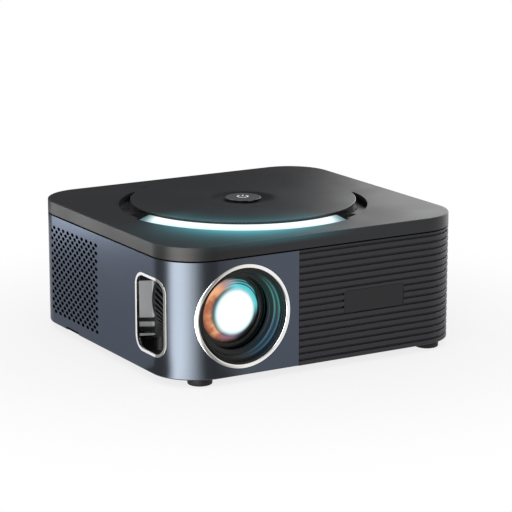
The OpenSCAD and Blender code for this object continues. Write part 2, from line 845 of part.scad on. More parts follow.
module mains_inlet() color("#0f0f10") {
    z = foot_h + inlet_h;
    difference() {
        union() {
            box(inlet_x - inlet_w / 2, inlet_x + inlet_w / 2, half_d - 18, half_d - 0.2,
                z - inlet_t / 2, z + inlet_t / 2);
            box(inlet_x - inlet_w / 2 - 3, inlet_x + inlet_w / 2 + 3, half_d - wall - 2.2,
                half_d - wall - 0.2, z - inlet_t / 2 - 2, z + inlet_t / 2 + 2);
        }
        for (s = [-1, 1]) rod_y(inlet_x + s * 4, z, half_d - 14, half_d + over, 4.6);
        box(inlet_x - 4, inlet_x + 4, half_d - 14, half_d + over, z - 4.6, z + 4.6);
    }
    for (s = [-1, 1]) rod_y(inlet_x + s * 4.3, z, half_d - 15, half_d - 4, 1.2);
}

module power_board() color("#7a5a2a") {
    box(power_x0, power_x1, power_y0, power_y1, z_power, z_power + board_thick);
    translate([0, 0, z_power + board_thick]) {
        box(power_x0 + 6, power_x0 + 34, power_y0 + 24, power_y0 + 48, 0, 22);
        for (x = [12, 30]) translate([power_x0 + x, power_y0 + 12, 0]) cylinder(h = 22, r = 7);
        translate([power_x1 - 18, power_y0 + 16, 0]) cylinder(h = 18, r = 5);
        box(power_x1 - 22, power_x1 - 18, power_y0 + 30, power_y0 + 64, 0, 20);
    }
}

front_box_x0 = split_x + 29.5;
front_box_y0 = -half_d + inner_inset + speaker_gap;
speaker_box_w = 58;
side_box_x1 = half_w - inner_inset - speaker_gap;
side_box_y0 = -45;
driver_r = 22;
driver_front = 12.5;

module front_speaker_box() color("#1a1a1c") difference() {
    box(front_box_x0, front_box_x0 + speaker_box_w, front_box_y0, front_box_y0 + speaker_box_t,
        z_floor, z_floor + speaker_h);
    rod_y(front_box_x0 + speaker_box_w / 2, z_floor + speaker_h / 2, -half_d,
        front_box_y0 + speaker_box_t - 2, driver_r + fit);
}

module driver(r) {
    rotate_extrude() polygon([[0, 0], [8, 3], [r - 4, driver_front - 2.5], [r - 2, driver_front],
        [r, driver_front], [r, driver_front - 2], [r / 2, 0], [r / 2, -4], [0, -4]]);
}

module front_speaker() color("#2d2d30")
    translate([front_box_x0 + speaker_box_w / 2, front_box_y0 + driver_front, z_floor + speaker_h / 2])
        rotate([90, 0, 0]) driver(driver_r);

module side_speaker_box() color("#1a1a1c") difference() {
    box(side_box_x1 - speaker_box_t, side_box_x1, side_box_y0, side_box_y0 + speaker_box_w,
        z_floor, z_floor + speaker_h);
    rod_x(side_box_y0 + speaker_box_w / 2, z_floor + speaker_h / 2, side_box_x1 - speaker_box_t + 2,
        half_w, driver_r + fit);
}

module side_speaker() color("#2d2d30")
    translate([side_box_x1 - driver_front, side_box_y0 + speaker_box_w / 2, z_floor + speaker_h / 2])
        rotate([0, 90, 0]) driver(driver_r);

// ---- Disc player ----

module disc_well() color("#222326") difference() {
    about_lid(0) rotate_extrude() polygon([[hub_r + 1.5, z_well - well_t], [hub_r + 1.5, z_well],
        [well_r, z_well], [well_r, z_deck], [deck_r, z_deck], [deck_r, z_cap - 0.2],
        [well_flange_r, z_cap - 0.2], [well_flange_r, z_cap - 2.3], [deck_skirt, z_cap - 2.3],
        [deck_skirt, z_deck - 2], [well_r + 2.2, z_deck - 2], [well_r + 2.2, z_well - well_t]]);
    box(hub_r, lens_in + sled_travel + pickup_r + 2 * gap, lid_y - 13, lid_y + 13,
        z_well - well_t - over, z_well + over);
    hinge_pockets();
    about_lid(z_deck - 1.6) translate([0, -liner_r + 5, 0]) cylinder(h = 3, r = 4 + fit);
}

module lid_bumpers() color("#111112") for (a = [40, 140, 230, 310])
    about_lid(z_deck) rotate(a) translate([liner_r - 3, 0, 0]) cylinder(h = 0.6, r = 2.5);

module well_magnet() color("#9ea2a6") about_lid(z_deck - 1.6)
    translate([0, -liner_r + 5, 0]) cylinder(h = 1.5, r = 4);

z_motor = z_chassis + chassis_t;

module spindle_motor() color("#8d9195") about_lid(0) {
    translate([0, 0, z_motor]) cylinder(h = z_well - well_t - z_motor, r = hub_r - 1);
    translate([0, 0, z_well - well_t - over]) cylinder(h = well_t + well_under + over + 2.2, r = shaft_r);
}

module turntable() color("#3b3d40") about_lid(0) difference() {
    union() {
        translate([0, 0, z_well - well_t + gap]) cylinder(h = z_disc - z_well + well_t - gap, r = hub_r);
        translate([0, 0, z_disc - over / 2]) cylinder(h = 1.6 + over / 2, r = cone_r);
        translate([0, 0, z_disc + 1.6]) cylinder(h = 1, r1 = cone_r, r2 = cone_r - 2.5);
    }
    translate([0, 0, z_well - well_t - over]) cylinder(h = 10, r = shaft_r + run);
}

rod_x0 = 6;
sled_motor_r = 5;

module mechanism_chassis() color("#55595d") {
    difference() {
        box(-30, rod_x1 + 26, lid_y - rod_offset - 13, lid_y + rod_offset + 13, z_chassis, z_motor);
        box(sled_in + 1, rod_x1 - 9, lid_y - 10, lid_y + 10, z_chassis - over, z_motor + over);
        box(rod_x1 + 5, rod_x1 + 23, lid_y - screw_offset - sled_motor_r - gap,
            lid_y - screw_offset + sled_motor_r + gap, z_chassis - over, z_motor + over);
    }
    difference() {
        union() {
            for (s = [-1, 1], x = [rod_x0, rod_x1])
                box(x, x + 5, lid_y + s * rod_offset - 3.5, lid_y + s * rod_offset + 3.5, z_motor - over / 2,
                    z_rod + 3);
            for (x = [rod_x0, rod_x1])
                box(x, x + 5, lid_y - screw_offset - 3, lid_y - screw_offset + 3, z_motor - over / 2,
                    z_rod + 3);
        }
        for (s = [-1, 1])
            rod_x(lid_y + s * rod_offset, z_rod, rod_x0 - over, rod_x1 + 6, rod_r + 0.02);
        rod_x(lid_y - screw_offset, z_rod, rod_x0 - over, rod_x1 + 6, rod_r + run);
    }
}

module dampers() color("#1c1c1d") for (x = [-22, 48], s = [-1, 1])
    translate([x, lid_y + s * (rod_offset + 9), z_motor]) cylinder(h = z_well - well_t - z_motor, r = 3.2);

module guide_rods() color("#cfd2d4") for (s = [-1, 1])
    rod_x(lid_y + s * rod_offset, z_rod, rod_x0, rod_x1 + 5, rod_r);

module lead_screw() color("#b9bdbf") rod_x(lid_y - screw_offset, z_rod, rod_x0, rod_x1 + 5 + gap, rod_r);

module sled_motor() color("#a2a6a9") {
    rod_x(lid_y - screw_offset, z_rod, rod_x1 + 5 + 2 * gap, rod_x1 + 22, sled_motor_r);
    box(rod_x1 + 8, rod_x1 + 20, lid_y - screw_offset - sled_motor_r - 3,
        lid_y - screw_offset + sled_motor_r + 3, z_motor, z_motor + 2);
}

module pickup_sled() color("#26282b") difference() {
    union() {
        box(sled_in, sled_in + sled_len, lid_y - rod_offset - 3, lid_y + rod_offset + 3,
            z_rod - 2.6, z_rod + 2.6);
        box(sled_in + 1.5, sled_in + sled_len - 2, lid_y - 10, lid_y + 10, z_rod, z_rod + 4.6);
    }
    for (s = [-1, 1])
        rod_x(lid_y + s * rod_offset, z_rod, sled_in - over, sled_in + sled_len + over, rod_r + run);
    rod_x(lid_y - screw_offset, z_rod, sled_in - over, sled_in + sled_len + over, rod_r + run);
    translate([lens_in, lid_y, z_rod]) cylinder(h = 8, r = pickup_r + 0.1);
}

module pickup_lens() color("#7fb0d8") {
    translate([lens_in, lid_y, z_rod]) cylinder(h = 6, r = pickup_r);
    translate([lens_in, lid_y, z_rod + 6]) cylinder(h = 0.8, r1 = pickup_r - 0.9, r2 = pickup_r - 1.9);
}

// ---- Lid ----

module disc_lid() color("#38393c") about_lid(0) {
    difference() {
        rotate_extrude() polygon([[0, z_button_floor - 1], [dish_r + 3, z_button_floor - 1],
            [dish_r + 3, z_lid_under], [lid_r - 0.5, z_lid_under], [lid_r, z_lid_under + 0.5],
            [lid_r, z_lid - 0.6], [lid_r - 0.6, z_lid], [dish_r, z_lid], [button_r + 2, z_dish],
            [0, z_dish]]);
        translate([0, 0, z_button_floor]) cylinder(h = 6, r = button_r + gap);
    }
}

module button_board() color("#164d33") about_lid(z_button_floor) cylinder(h = 0.25, r = 6);

module power_button() color("#58595c") about_lid(z_button) {
    cylinder(h = button_t - 0.5, r = button_r);
    translate([0, 0, button_t - 0.5]) cylinder(h = 0.5, r1 = button_r, r2 = button_r - 0.5);
}

module arm_2d() {
    polygon([[hinge_y - 16, z_liner], [hinge_y - 16, z_lid_under], [hinge_y - 6.5, z_lid_under],
        [hinge_y + 1.6, hinge_z + 2.5], [hinge_y, hinge_z], [hinge_y - 2.4, hinge_z - 1.8],
        [hinge_y - 8, z_liner]]);
}

module lid_liner() color("#1d1e20") {
    cage_r = clamp_flange_r + gap + 1.6;
    difference() {
        about_lid(0) union() {
            translate([0, 0, z_liner]) cylinder(h = liner_t, r = liner_r);
            translate([0, 0, z_liner]) difference() {
                cylinder(h = z_lid_under - z_liner, r = liner_r);
                translate([0, 0, -over]) cylinder(h = cap_h, r = liner_r - 2.5);
            }
            translate([0, 0, z_clamp + 2.2]) cylinder(h = z_liner - z_clamp - 2.2 + over / 2, r = cage_r);
        }
        about_lid(0) {
            translate([0, 0, z_clamp + 2.2 + cage_lip]) cylinder(h = 3.4, r = clamp_flange_r + gap);
            translate([0, 0, z_clamp]) cylinder(h = 5, r = clamp_r + gap);
        }
    }
    for (s = [-1, 1]) difference() {
        translate([s * hinge_x - arm_w / 2, 0, 0]) union() {
            rotate([90, 0, 90]) linear_extrude(arm_w) arm_2d();
            rod_x(hinge_y, hinge_z, 0, arm_w, knuckle_r);
        }
        rod_x(hinge_y, hinge_z, s * hinge_x - arm_w, s * hinge_x + arm_w, hinge_pin_r + run);
    }
}

module disc_clamp() color("#7d8184") about_lid(0) difference() {
    union() {
        translate([0, 0, z_clamp]) cylinder(h = 4, r = clamp_r);
        translate([0, 0, z_clamp + 2.2 + cage_lip + gap]) cylinder(h = 1.4, r = clamp_flange_r);
    }
    translate([0, 0, z_clamp - over]) cylinder(h = 3.6, r = cone_r + 1.5);
}

base_plate();
side_shell();
ribbed_grille();
rear_panel();
label_plate();
seam_frame();
top_cap();
feet();
foot_pads();
tripod_insert();
case_screws();
window_bezel();
lens_bezel();
lens_hood();
lens_mount();
lens_barrel();
front_lens();
rear_lens();
focus_ring();
engine_housing();
field_lens();
lcd_panel();
fresnel_lens();
condenser_lens();
led_module();
heat_sink();
heat_pipes();
fan_frame();
fan_rotor();
main_board();
hdmi_sockets();
usb_socket();
audio_jack();
ir_window();
mains_inlet();
power_board();
front_speaker_box();
front_speaker();
side_speaker_box();
side_speaker();
light_board();
light_ring();
disc_well();
lid_bumpers();
well_magnet();
spindle_motor();
turntable();
mechanism_chassis();
dampers();
guide_rods();
lead_screw();
sled_motor();
pickup_sled();
pickup_lens();
disc_lid();
lid_liner();
button_board();
power_button();
disc_clamp();
hinge_pins();
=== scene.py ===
"""Visual model of a desktop projector with a disc player under its round flip-up lid.

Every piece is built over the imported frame, in metres, with the lens towards -Y and Z up.
"""

import math

import bmesh
import bpy
from bpy.props import FloatProperty, FloatVectorProperty, IntProperty, PointerProperty
from bpy.types import Operator, Panel, PropertyGroup
from mathutils import Matrix, Vector


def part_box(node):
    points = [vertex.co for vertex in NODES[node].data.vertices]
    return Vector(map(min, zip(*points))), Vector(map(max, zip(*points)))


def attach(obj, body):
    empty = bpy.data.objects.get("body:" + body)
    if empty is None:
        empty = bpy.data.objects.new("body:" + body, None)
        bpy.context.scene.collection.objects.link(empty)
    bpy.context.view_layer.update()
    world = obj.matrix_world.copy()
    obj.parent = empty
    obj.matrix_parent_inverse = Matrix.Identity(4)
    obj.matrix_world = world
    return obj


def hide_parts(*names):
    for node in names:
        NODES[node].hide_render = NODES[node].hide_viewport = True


bl_info = {
    "name": "Projector with disc player",
    "version": (1, 0, 0),
    "blender": (4, 5, 0),
    "location": "View3D > Sidebar > Projector",
    "description": "Builds the case, lens, lid and small parts of a desktop projector over its packed frame",
    "category": "Object",
}

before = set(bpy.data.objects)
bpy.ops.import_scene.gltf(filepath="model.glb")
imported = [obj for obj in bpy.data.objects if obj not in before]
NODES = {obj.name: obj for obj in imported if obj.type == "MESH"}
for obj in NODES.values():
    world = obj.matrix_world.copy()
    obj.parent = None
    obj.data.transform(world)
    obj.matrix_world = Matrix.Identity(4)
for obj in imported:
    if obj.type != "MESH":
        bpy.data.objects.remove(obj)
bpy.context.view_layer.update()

MM = 0.001
UP = Vector((0, 0, 1))
FULL_TURN = 2 * math.pi
QUARTER = math.pi / 2

SHELL_LOW, SHELL_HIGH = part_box("side_shell")
CAP_LOW, CAP_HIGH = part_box("top_cap")
LID_LOW, LID_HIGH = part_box("disc_lid")
RING_LOW, RING_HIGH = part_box("lens_bezel")
WINDOW_LOW, WINDOW_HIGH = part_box("window_bezel")
GRILLE_LOW, GRILLE_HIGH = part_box("ribbed_grille")
FRONT_Y = GRILLE_LOW.y
BACK_Y = GRILLE_HIGH.y
LEFT_X = SHELL_LOW.x
RIGHT_X = GRILLE_HIGH.x
LID_RADIUS = (LID_HIGH.x - LID_LOW.x) / 2
LID_CENTRE = Vector((0, (LID_LOW.y + LID_HIGH.y) / 2, 0))
LENS_AXIS = Vector(((RING_LOW.x + RING_HIGH.x) / 2, 0, (RING_LOW.z + RING_HIGH.z) / 2))
LENS_RADIUS = (RING_HIGH.x - RING_LOW.x) / 2
CHANNEL_FLOOR = 88 * MM  # height of the floor of the channel round the lid
MERGE = 0.002 * MM  # vertices that lie closer than this become one
CUT = 0.001 * MM  # vertices that lie closer than this to a cutting plane count as on it
BLACK = (0, 0, 0)
WHITE = (1, 1, 1, 1)


def mm(*values):
    """Millimetres as a vector in metres."""
    return Vector([value * MM for value in values])


def linear(red, green, blue):
    """A screen colour of 0 to 255 as the linear values that a shader takes."""
    def channel(value):
        value /= 255
        return value / 12.92 if value <= 0.04045 else ((value + 0.055) / 1.055) ** 2.4
    return tuple(channel(value) for value in (red, green, blue))


# ---- Sizes and colours that a user would change ----


def length(name, description, millimetres):
    return FloatProperty(name=name, description=description, default=millimetres * MM, unit="LENGTH")


def angle(name, description, degrees):
    return FloatProperty(name=name, description=description, default=math.radians(degrees), unit="ROTATION")


def colour(name, description, *rgb):
    return FloatVectorProperty(
        name=name, description=description, default=linear(*rgb), subtype="COLOR", min=0, max=1)


class CaseSizes(PropertyGroup):
    corner_radius: length("Corner radius", "Radius of the four upright corners", 32.5)
    wall: length("Wall", "Thickness of the walls", 2.6)
    foot_round: length("Lower edge", "Radius of the walls' lower outer edge", 1.2)
    cap_round: length("Cap edge", "Radius of the top cap's upper outer edge", 0.8)
    rib_pitch: length("Rib pitch", "Distance from rib to rib", 4.6)
    rib_height: length("Rib height", "Height of one rib", 3.1)
    groove_depth: length("Groove depth", "Depth of the groove between two ribs", 1.9)
    vent_height: length("Vent hole height", "Height of an oval hole in the side vent", 2.7)
    vent_width: length("Vent hole width", "Width of an oval hole in the side vent", 4.4)
    vent_rows: IntProperty(name="Vent rows", description="Rows of holes in the side vent", default=23)
    vent_columns: IntProperty(name="Vent columns", description="Holes in a row of the side vent", default=10)


class LensSizes(PropertyGroup):
    ring_width: length("Ring width", "Width of the bright ring round the lens", 2.8)
    window_frame: length("Window frame", "Width of the bright frame round the focus window", 1.9)
    window_corner: length("Window corner", "Corner radius of the focus window", 10)
    focus_ribs: IntProperty(name="Focus ribs", description="Slanted ribs round the focus ring", default=56)
    rib_slant: angle("Rib slant", "Turn of the focus ring's ribs over its length", 16)


class LidSizes(PropertyGroup):
    opening_radius: length("Opening", "Radius of the opening in the top cap", 80.6)
    channel_radius: length("Channel", "Outer radius of the channel round the lid", 91)
    dish_radius: length("Dish", "Radius of the shallow dish round the button", 22.5)
    button_radius: length("Button", "Radius of the power button", 11.8)
    strip_start: angle("Strip start", "Angle at which the light strip starts, on the left", 186)
    strip_end: angle("Strip end", "Angle at which the light strip ends, on the right", 293)
    strip_gap: angle("Strip gap", "Free angle between each end of the strip and its channel's end", 5)
    # The black stops are near-black blocks that stand for the shade at the channel's ends.
    stop_lap: angle("Stop lap", "How far the black stops lap over the strip's ends", 1.5)
    scoop_length: angle("Finger scoop", "Length of a finger scoop beside the channel", 64)
    scoop_slant: angle("Scoop slant", "How far the scoop's far end slants over its width", 9)
    scoop_radius: length("Scoop radius", "Outer radius of a finger scoop", 88)


class Finishes(PropertyGroup):
    lacquer: colour("Lacquer", "Metallic lacquer of the smooth walls", 77, 84, 95)
    cap: colour("Cap", "Satin plastic of the top cap", 34, 35, 38)
    lid: colour("Lid", "Satin plastic of the lid", 34, 36, 39)
    ribs: colour("Ribs", "Moulded plastic of the ribbed walls", 42, 42, 47)
    light: colour("Light", "Colour of the lit strip", 249, 255, 255)
    glow: colour("Glow", "Colour of the strip's glow on the cap", 76, 176, 190)


# ---- Mesh helpers ----


def verts_of(geometry):
    return [item for item in geometry if isinstance(item, bmesh.types.BMVert)]


def edges_of(geometry):
    return [item for item in geometry if isinstance(item, bmesh.types.BMEdge)]


def outline(bm, points, closed=True, rounds=(), segments=4):
    """Draws an outline through points, and rounds the corners that rounds lists as (index, radius)."""
    verts = [bm.verts.new(point) for point in points]
    ends = verts[1:] + verts[:1] if closed else verts[1:]
    for start, end in zip(verts, ends):
        bm.edges.new((start, end))
    for index, radius in rounds:
        bmesh.ops.bevel(
            bm, geom=[verts[index]], offset=radius, segments=segments, profile=0.5,
            affect="VERTICES", material=-1)
    return list(bm.edges)


def sweep(bm, edges, moves):
    """Draws edges along moves: a vector is a straight one, and (centre, angle, steps) is a turn about Z."""
    for move in moves:
        if isinstance(move, Vector):
            grown = bmesh.ops.extrude_edge_only(bm, edges=edges)["geom"]
            fresh = set(verts_of(grown))
            bmesh.ops.translate(bm, verts=list(fresh), vec=move)
            edges = [edge for edge in edges_of(grown) if set(edge.verts) <= fresh]
        else:
            centre, turn, steps = move
            verts = list({vert for edge in edges for vert in edge.verts})
            turned = bmesh.ops.spin(
                bm, geom=verts + edges, cent=centre, axis=UP, angle=turn, steps=steps)
            edges = edges_of(turned["geom_last"])
    return edges


def tidy(bm, fill=False):
    """Merges doubles, fills each open loop if asked, and points every face outwards."""
    bmesh.ops.remove_doubles(bm, verts=bm.verts, dist=MERGE)
    if fill:
        bmesh.ops.holes_fill(bm, edges=[edge for edge in bm.edges if edge.is_boundary], sides=0)
    bmesh.ops.recalc_face_normals(bm, faces=bm.faces)
    return bm


def corner_centre(side_x, side_y, radius):
    """Centre of an upright corner: side_x and side_y are -1 or 1."""
    return Vector((side_x * (RIGHT_X - radius), side_y * (BACK_Y - radius), 0))


def half_way_round(side, start, steps):
    """Moves along the walls from the front at x = start, round the corners of one side, to the back."""
    radius = bpy.context.scene.projector_case.corner_radius
    return [
        Vector((side * (RIGHT_X - radius) - start, 0, 0)),
        (corner_centre(side, -1, radius), side * QUARTER, steps),
        Vector((0, BACK_Y - FRONT_Y - 2 * radius, 0)),
        (corner_centre(side, 1, radius), side * QUARTER, steps),
    ]


def rounded_slab(z0, z1, edge_round, steps):
    """A plate as large as the case, with its upper edge rounded."""
    radius = bpy.context.scene.projector_case.corner_radius
    half = RIGHT_X - radius
    bm = bmesh.new()
    points = [(0, -BACK_Y, z0), (0, -BACK_Y, z1), (0, -BACK_Y + 2 * edge_round, z1)]
    edges = outline(bm, points, closed=False, rounds=[(1, edge_round)])
    sweep(bm, edges, half_way_round(-1, 0, steps) + [
        Vector((2 * half, 0, 0)), (corner_centre(1, 1, radius), -QUARTER, steps),
        Vector((0, -2 * (BACK_Y - radius), 0)), (corner_centre(1, -1, radius), -QUARTER, steps),
        Vector((-half, 0, 0)),
    ])
    return tidy(bm, fill=True)


def box(low, high):
    bm = bmesh.new()
    size = Matrix.Diagonal(high - low).to_4x4()
    bmesh.ops.create_cube(bm, size=1, matrix=Matrix.Translation((low + high) / 2) @ size)
    return bm


def rod(start, end, radius, segments):
    """A round bar from one point to another."""
    bm = bmesh.new()
    along = end - start
    turn = UP.rotation_difference(along).to_matrix().to_4x4()
    bmesh.ops.create_cone(
        bm, cap_ends=True, segments=segments, radius1=radius, radius2=radius, depth=along.length,
        matrix=Matrix.Translation((start + end) / 2) @ turn)
    return bm


def all_of(bm):
    return list(bm.verts) + list(bm.edges) + list(bm.faces)


def four_corners(radius):
    """The same radius for each corner of an outline of four points."""
    return [(index, radius) for index in range(4)]


def prism(points, direction, rounds=(), segments=8):
    """A straight bar of the outline through points, along direction."""
    bm = bmesh.new()
    edges = outline(bm, points, rounds=rounds, segments=segments)
    sweep(bm, edges, [direction])
    return tidy(bm, fill=True)


def lathe(profile, centre, steps=96, rounds=(), closed=False, angles=None, segments=4):
    """Turns a profile of (radius, height) about Z through centre, fully or between two angles."""
    bm = bmesh.new()
    edges = outline(bm, [(point[0], 0, point[1]) for point in profile], closed, rounds, segments)
    if angles:
        bmesh.ops.rotate(bm, verts=bm.verts, cent=(0, 0, 0), matrix=Matrix.Rotation(angles[0], 3, "Z"))
    bmesh.ops.translate(bm, verts=bm.verts, vec=centre)
    turn = angles[1] - angles[0] if angles else FULL_TURN
    bmesh.ops.spin(
        bm, geom=list(bm.verts) + edges, cent=centre, axis=UP, angle=turn, steps=steps,
        use_merge=angles is None)
    return tidy(bm, fill=angles is not None)


def face_lens(bm):
    """Turns a lathed shape onto the lens axis, so that its height is its depth behind the case's front."""
    place = Matrix.Translation(LENS_AXIS + Vector((0, FRONT_Y, 0)))
    bmesh.ops.transform(bm, matrix=place @ Matrix.Rotation(-QUARTER, 4, "X"), verts=bm.verts)
    return bm


def lens_lathe(profile, steps, **shape):
    """Turns a profile of (radius, depth behind the case's front) about the lens axis."""
    return face_lens(lathe(profile, Vector(), steps, **shape))


def mm_points(*points):
    """The points of a profile, given in millimetres."""
    return [mm(*point) for point in points]


def join(*shapes):
    """One bmesh that holds all the shapes."""
    whole = bmesh.new()
    for shape in shapes:
        mesh = bpy.data.meshes.new("part")
        shape.to_mesh(mesh)
        shape.free()
        whole.from_mesh(mesh)
        bpy.data.meshes.remove(mesh)
    return whole


def new_object(name, bm):
    """Makes an object of a shape, and frees the shape."""
    mesh = bpy.data.meshes.new(name)
    bm.to_mesh(mesh)
    bm.free()
    made = bpy.data.objects.new(name, mesh)
    bpy.context.scene.collection.objects.link(made)
    return made


def combine(bm, tool, operation="DIFFERENCE"):
    """Takes the tool out of a shape, or adds it, with an exact boolean."""
    body = new_object("temporary", bm)
    other = new_object("temporary", tool)
    change = body.modifiers.new("change", "BOOLEAN")
    change.operation = operation
    change.solver = "EXACT"
    change.object = other
    result = bmesh.new()
    result.from_object(body, bpy.context.evaluated_depsgraph_get())
    for done in (body, other):
        mesh = done.data
        bpy.data.objects.remove(done)
        bpy.data.meshes.remove(mesh)
    bmesh.ops.remove_doubles(result, verts=result.verts, dist=MERGE)
    return result


def soften(bm, width, segments=2):
    """Rounds the edges that turn by more than 30 degrees."""
    limit = math.radians(30)
    sharp = [edge for edge in bm.edges if edge.is_manifold and edge.calc_face_angle(0) > limit]
    bmesh.ops.bevel(
        bm, geom=sharp, offset=width, segments=segments, profile=0.5, affect="EDGES",
        clamp_overlap=True, material=-1)
    return bm


def piece(name, bm, finish, body="chassis", replaces=(), smooth=40):
    """Makes the finished object of a shape, on its body and in place of its CAD nodes."""
    made = new_object(name, bm)
    made.data.shade_smooth()
    made.data.set_sharp_from_angle(angle=math.radians(smooth))
    made.data.materials.append(bpy.data.materials[finish])
    even = made.modifiers.new("even_light", "WEIGHTED_NORMAL")
    even.keep_sharp = True
    even.weight = 100
    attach(made, body)
    if replaces:
        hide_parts(*replaces)


def softened(name, node, finish, width, body="chassis"):
    """Makes a piece of a CAD node's own shape, with its edges rounded by a width in millimetres."""
    bm = bmesh.new()
    bm.from_mesh(NODES[node].data)
    bmesh.ops.remove_doubles(bm, verts=bm.verts, dist=2 * MERGE)
    bmesh.ops.dissolve_limit(
        bm, angle_limit=math.radians(1), verts=bm.verts, edges=bm.edges, use_dissolve_boundaries=False)
    piece(name, soften(bm, width * MM), finish, body, [node])


def corner_sag(reach):
    """How far an upright corner falls back at a reach past the end of its flat wall."""
    radius = bpy.context.scene.projector_case.corner_radius
    return radius - math.sqrt(max(radius ** 2 - max(reach, 0) ** 2, 0))


def front_sag(x):
    """How far the case's front lies behind its flat part at x, on the left corner."""
    return corner_sag(LEFT_X + bpy.context.scene.projector_case.corner_radius - x)


def side_sag(y):
    """How far the case's left side lies inside its flat part at y, on the front corner."""
    return corner_sag(FRONT_Y + bpy.context.scene.projector_case.corner_radius - y)


# ---- Shader helpers ----


class Value:
    """A shader socket that adds Math nodes when it is used in an expression."""

    def __init__(self, nodes, socket):
        self.nodes = nodes
        self.socket = socket

    def maths(self, operation, *others):
        return self.nodes.maths(operation, self, *others)

    def __add__(self, other):
        return self.maths("ADD", other)

    def __sub__(self, other):
        return self.maths("SUBTRACT", other)

    def __rsub__(self, other):
        return self.nodes.maths("SUBTRACT", other, self)

    def __mul__(self, other):
        return self.maths("MULTIPLY", other)

    def __truediv__(self, other):
        return self.maths("DIVIDE", other)

    def __rtruediv__(self, other):
        return self.nodes.maths("DIVIDE", other, self)

    __radd__ = __add__
    __rmul__ = __mul__


class Nodes:
    """The emptied node tree of a material or world, built through one method."""

    def __init__(self, owner):
        owner.use_nodes = True
        self.owner = owner
        self.tree = owner.node_tree
        self.tree.nodes.clear()

    def node(self, kind, settings=None, *inputs, output=0, **named):
        """Adds a node: its settings first, then the values or links of its sockets."""
        made = self.tree.nodes.new(kind)
        for key, value in (settings or {}).items():
            setattr(made, key, value)
        sockets = list(enumerate(inputs)) + [(key.replace("_", " "), value) for key, value in named.items()]
        for key, value in sockets:
            if isinstance(value, Value):
                self.tree.links.new(value.socket, made.inputs[key])
            elif value is not None:
                made.inputs[key].default_value = value
        return Value(self, made.outputs[output] if made.outputs else None)

    def maths(self, operation, *values):
        return self.node("ShaderNodeMath", {"operation": operation}, *values)

    def outputs_of(self, value):
        return [Value(self, socket) for socket in value.socket.node.outputs]

    def place(self, centre=(0, 0, 0)):
        """Object coordinates, counted from centre."""
        coordinates = self.node("ShaderNodeTexCoord", output=3)
        return self.node("ShaderNodeVectorMath", {"operation": "SUBTRACT"}, coordinates, centre)

    def axes(self, centre=(0, 0, 0)):
        """The three object coordinates one by one, counted from centre."""
        return self.outputs_of(self.node("ShaderNodeSeparateXYZ", None, self.place(centre)))

    def noise(self, scale, detail=2.0, vector=None):
        return self.node("ShaderNodeTexNoise", None, vector or self.place(), Scale=scale, Detail=detail)

    def span(self, value, low, high, start=0.0, end=1.0):
        """A smooth step of value: start below low, end above high."""
        return self.node(
            "ShaderNodeMapRange", {"interpolation_type": "SMOOTHSTEP"}, value, low, high, start, end)

    def fade(self, value, low, high):
        """One below low and nothing above high."""
        return self.span(value, low, high, 1.0, 0.0)

    def band(self, value, low, high, blur):
        """One between low and high and nothing outside them, with soft borders."""
        return self.span(value, low - blur, low + blur) * self.fade(value, high - blur, high + blur)

    def ring(self, radius, low, high, blur):
        """A band whose borders are given in millimetres."""
        return self.band(radius, low * MM, high * MM, blur * MM)

    def polar(self, across, up):
        """Radius and angle of a point: the angle is in turns, 0 to 1, counted from the first axis."""
        turns = up.maths("ARCTAN2", across) / FULL_TURN
        return (across * across + up * up).maths("SQRT"), (turns + 1.0).maths("FRACT")

    def round_lens(self):
        """Distances across and up from the lens axis, and the radius and angle about it."""
        across, _, up = self.axes(LENS_AXIS)
        return across, up, *self.polar(across, up)

    def mix(self, factor, first, second):
        """A colour between first and second."""
        return self.node(
            "ShaderNodeMix", {"data_type": "RGBA"}, factor, None, None, None, None, None,
            as_colour(first), as_colour(second), output=2)


def as_colour(value):
    return value if isinstance(value, Value) else (*value[:3], 1)


def scaled(rgb, factor):
    return tuple(min(channel * factor, 1) for channel in rgb[:3])


class Finish(Nodes):
    """A procedural material, with its Principled shader."""

    def __init__(self, name, rgb, roughness, **constants):
        super().__init__(bpy.data.materials.new(name))
        shader = self.node("ShaderNodeBsdfPrincipled")
        self.node("ShaderNodeOutputMaterial", None, shader)
        self.shader = shader.socket.node
        self.owner.diffuse_color = as_colour(rgb)
        self.set("Base Color", as_colour(rgb))
        self.set("Roughness", roughness)
        for socket, value in constants.items():
            self.set(socket.replace("_", " "), value)

    def set(self, socket, value):
        target = self.shader.inputs[socket]
        if isinstance(value, Value):
            self.tree.links.new(value.socket, target)
        else:
            target.default_value = value

    def tint(self, pattern, rgb, darkest, lightest):
        """Lets the colour drift with a pattern between two shares of rgb, and keeps it as the tone."""
        self.tone = self.mix(pattern, scaled(rgb, darkest), scaled(rgb, lightest))
        self.set("Base Color", self.tone)

    def roughen(self, pattern, smoothest, roughest):
        self.set("Roughness", self.span(pattern, 0.3, 0.7, smoothest, roughest))

    def shine(self, colour, strength=1.0):
        self.set("Emission Color", as_colour(colour))
        self.set("Emission Strength", strength)

    def bump(self, height, strength, millimetres):
        self.set("Normal", self.node(
            "ShaderNodeBump", None, Strength=strength, Distance=millimetres * MM, Height=height))


# ---- Finishes ----


def moulded(name, rgb, roughness=0.45, grain=0.3, gloss=0.3):
    """Satin moulded plastic: a fine spark-eroded grain, with slow changes of tone and gloss."""
    finish = Finish(name, rgb, roughness, Specular_IOR_Level=gloss)
    cloud = finish.noise(24, 3)
    finish.tint(cloud, rgb, 0.9, 1.12)
    finish.roughen(cloud, roughness - 0.03, roughness + 0.03)
    finish.bump(finish.noise(2600, 1), grain, 0.02)
    return finish


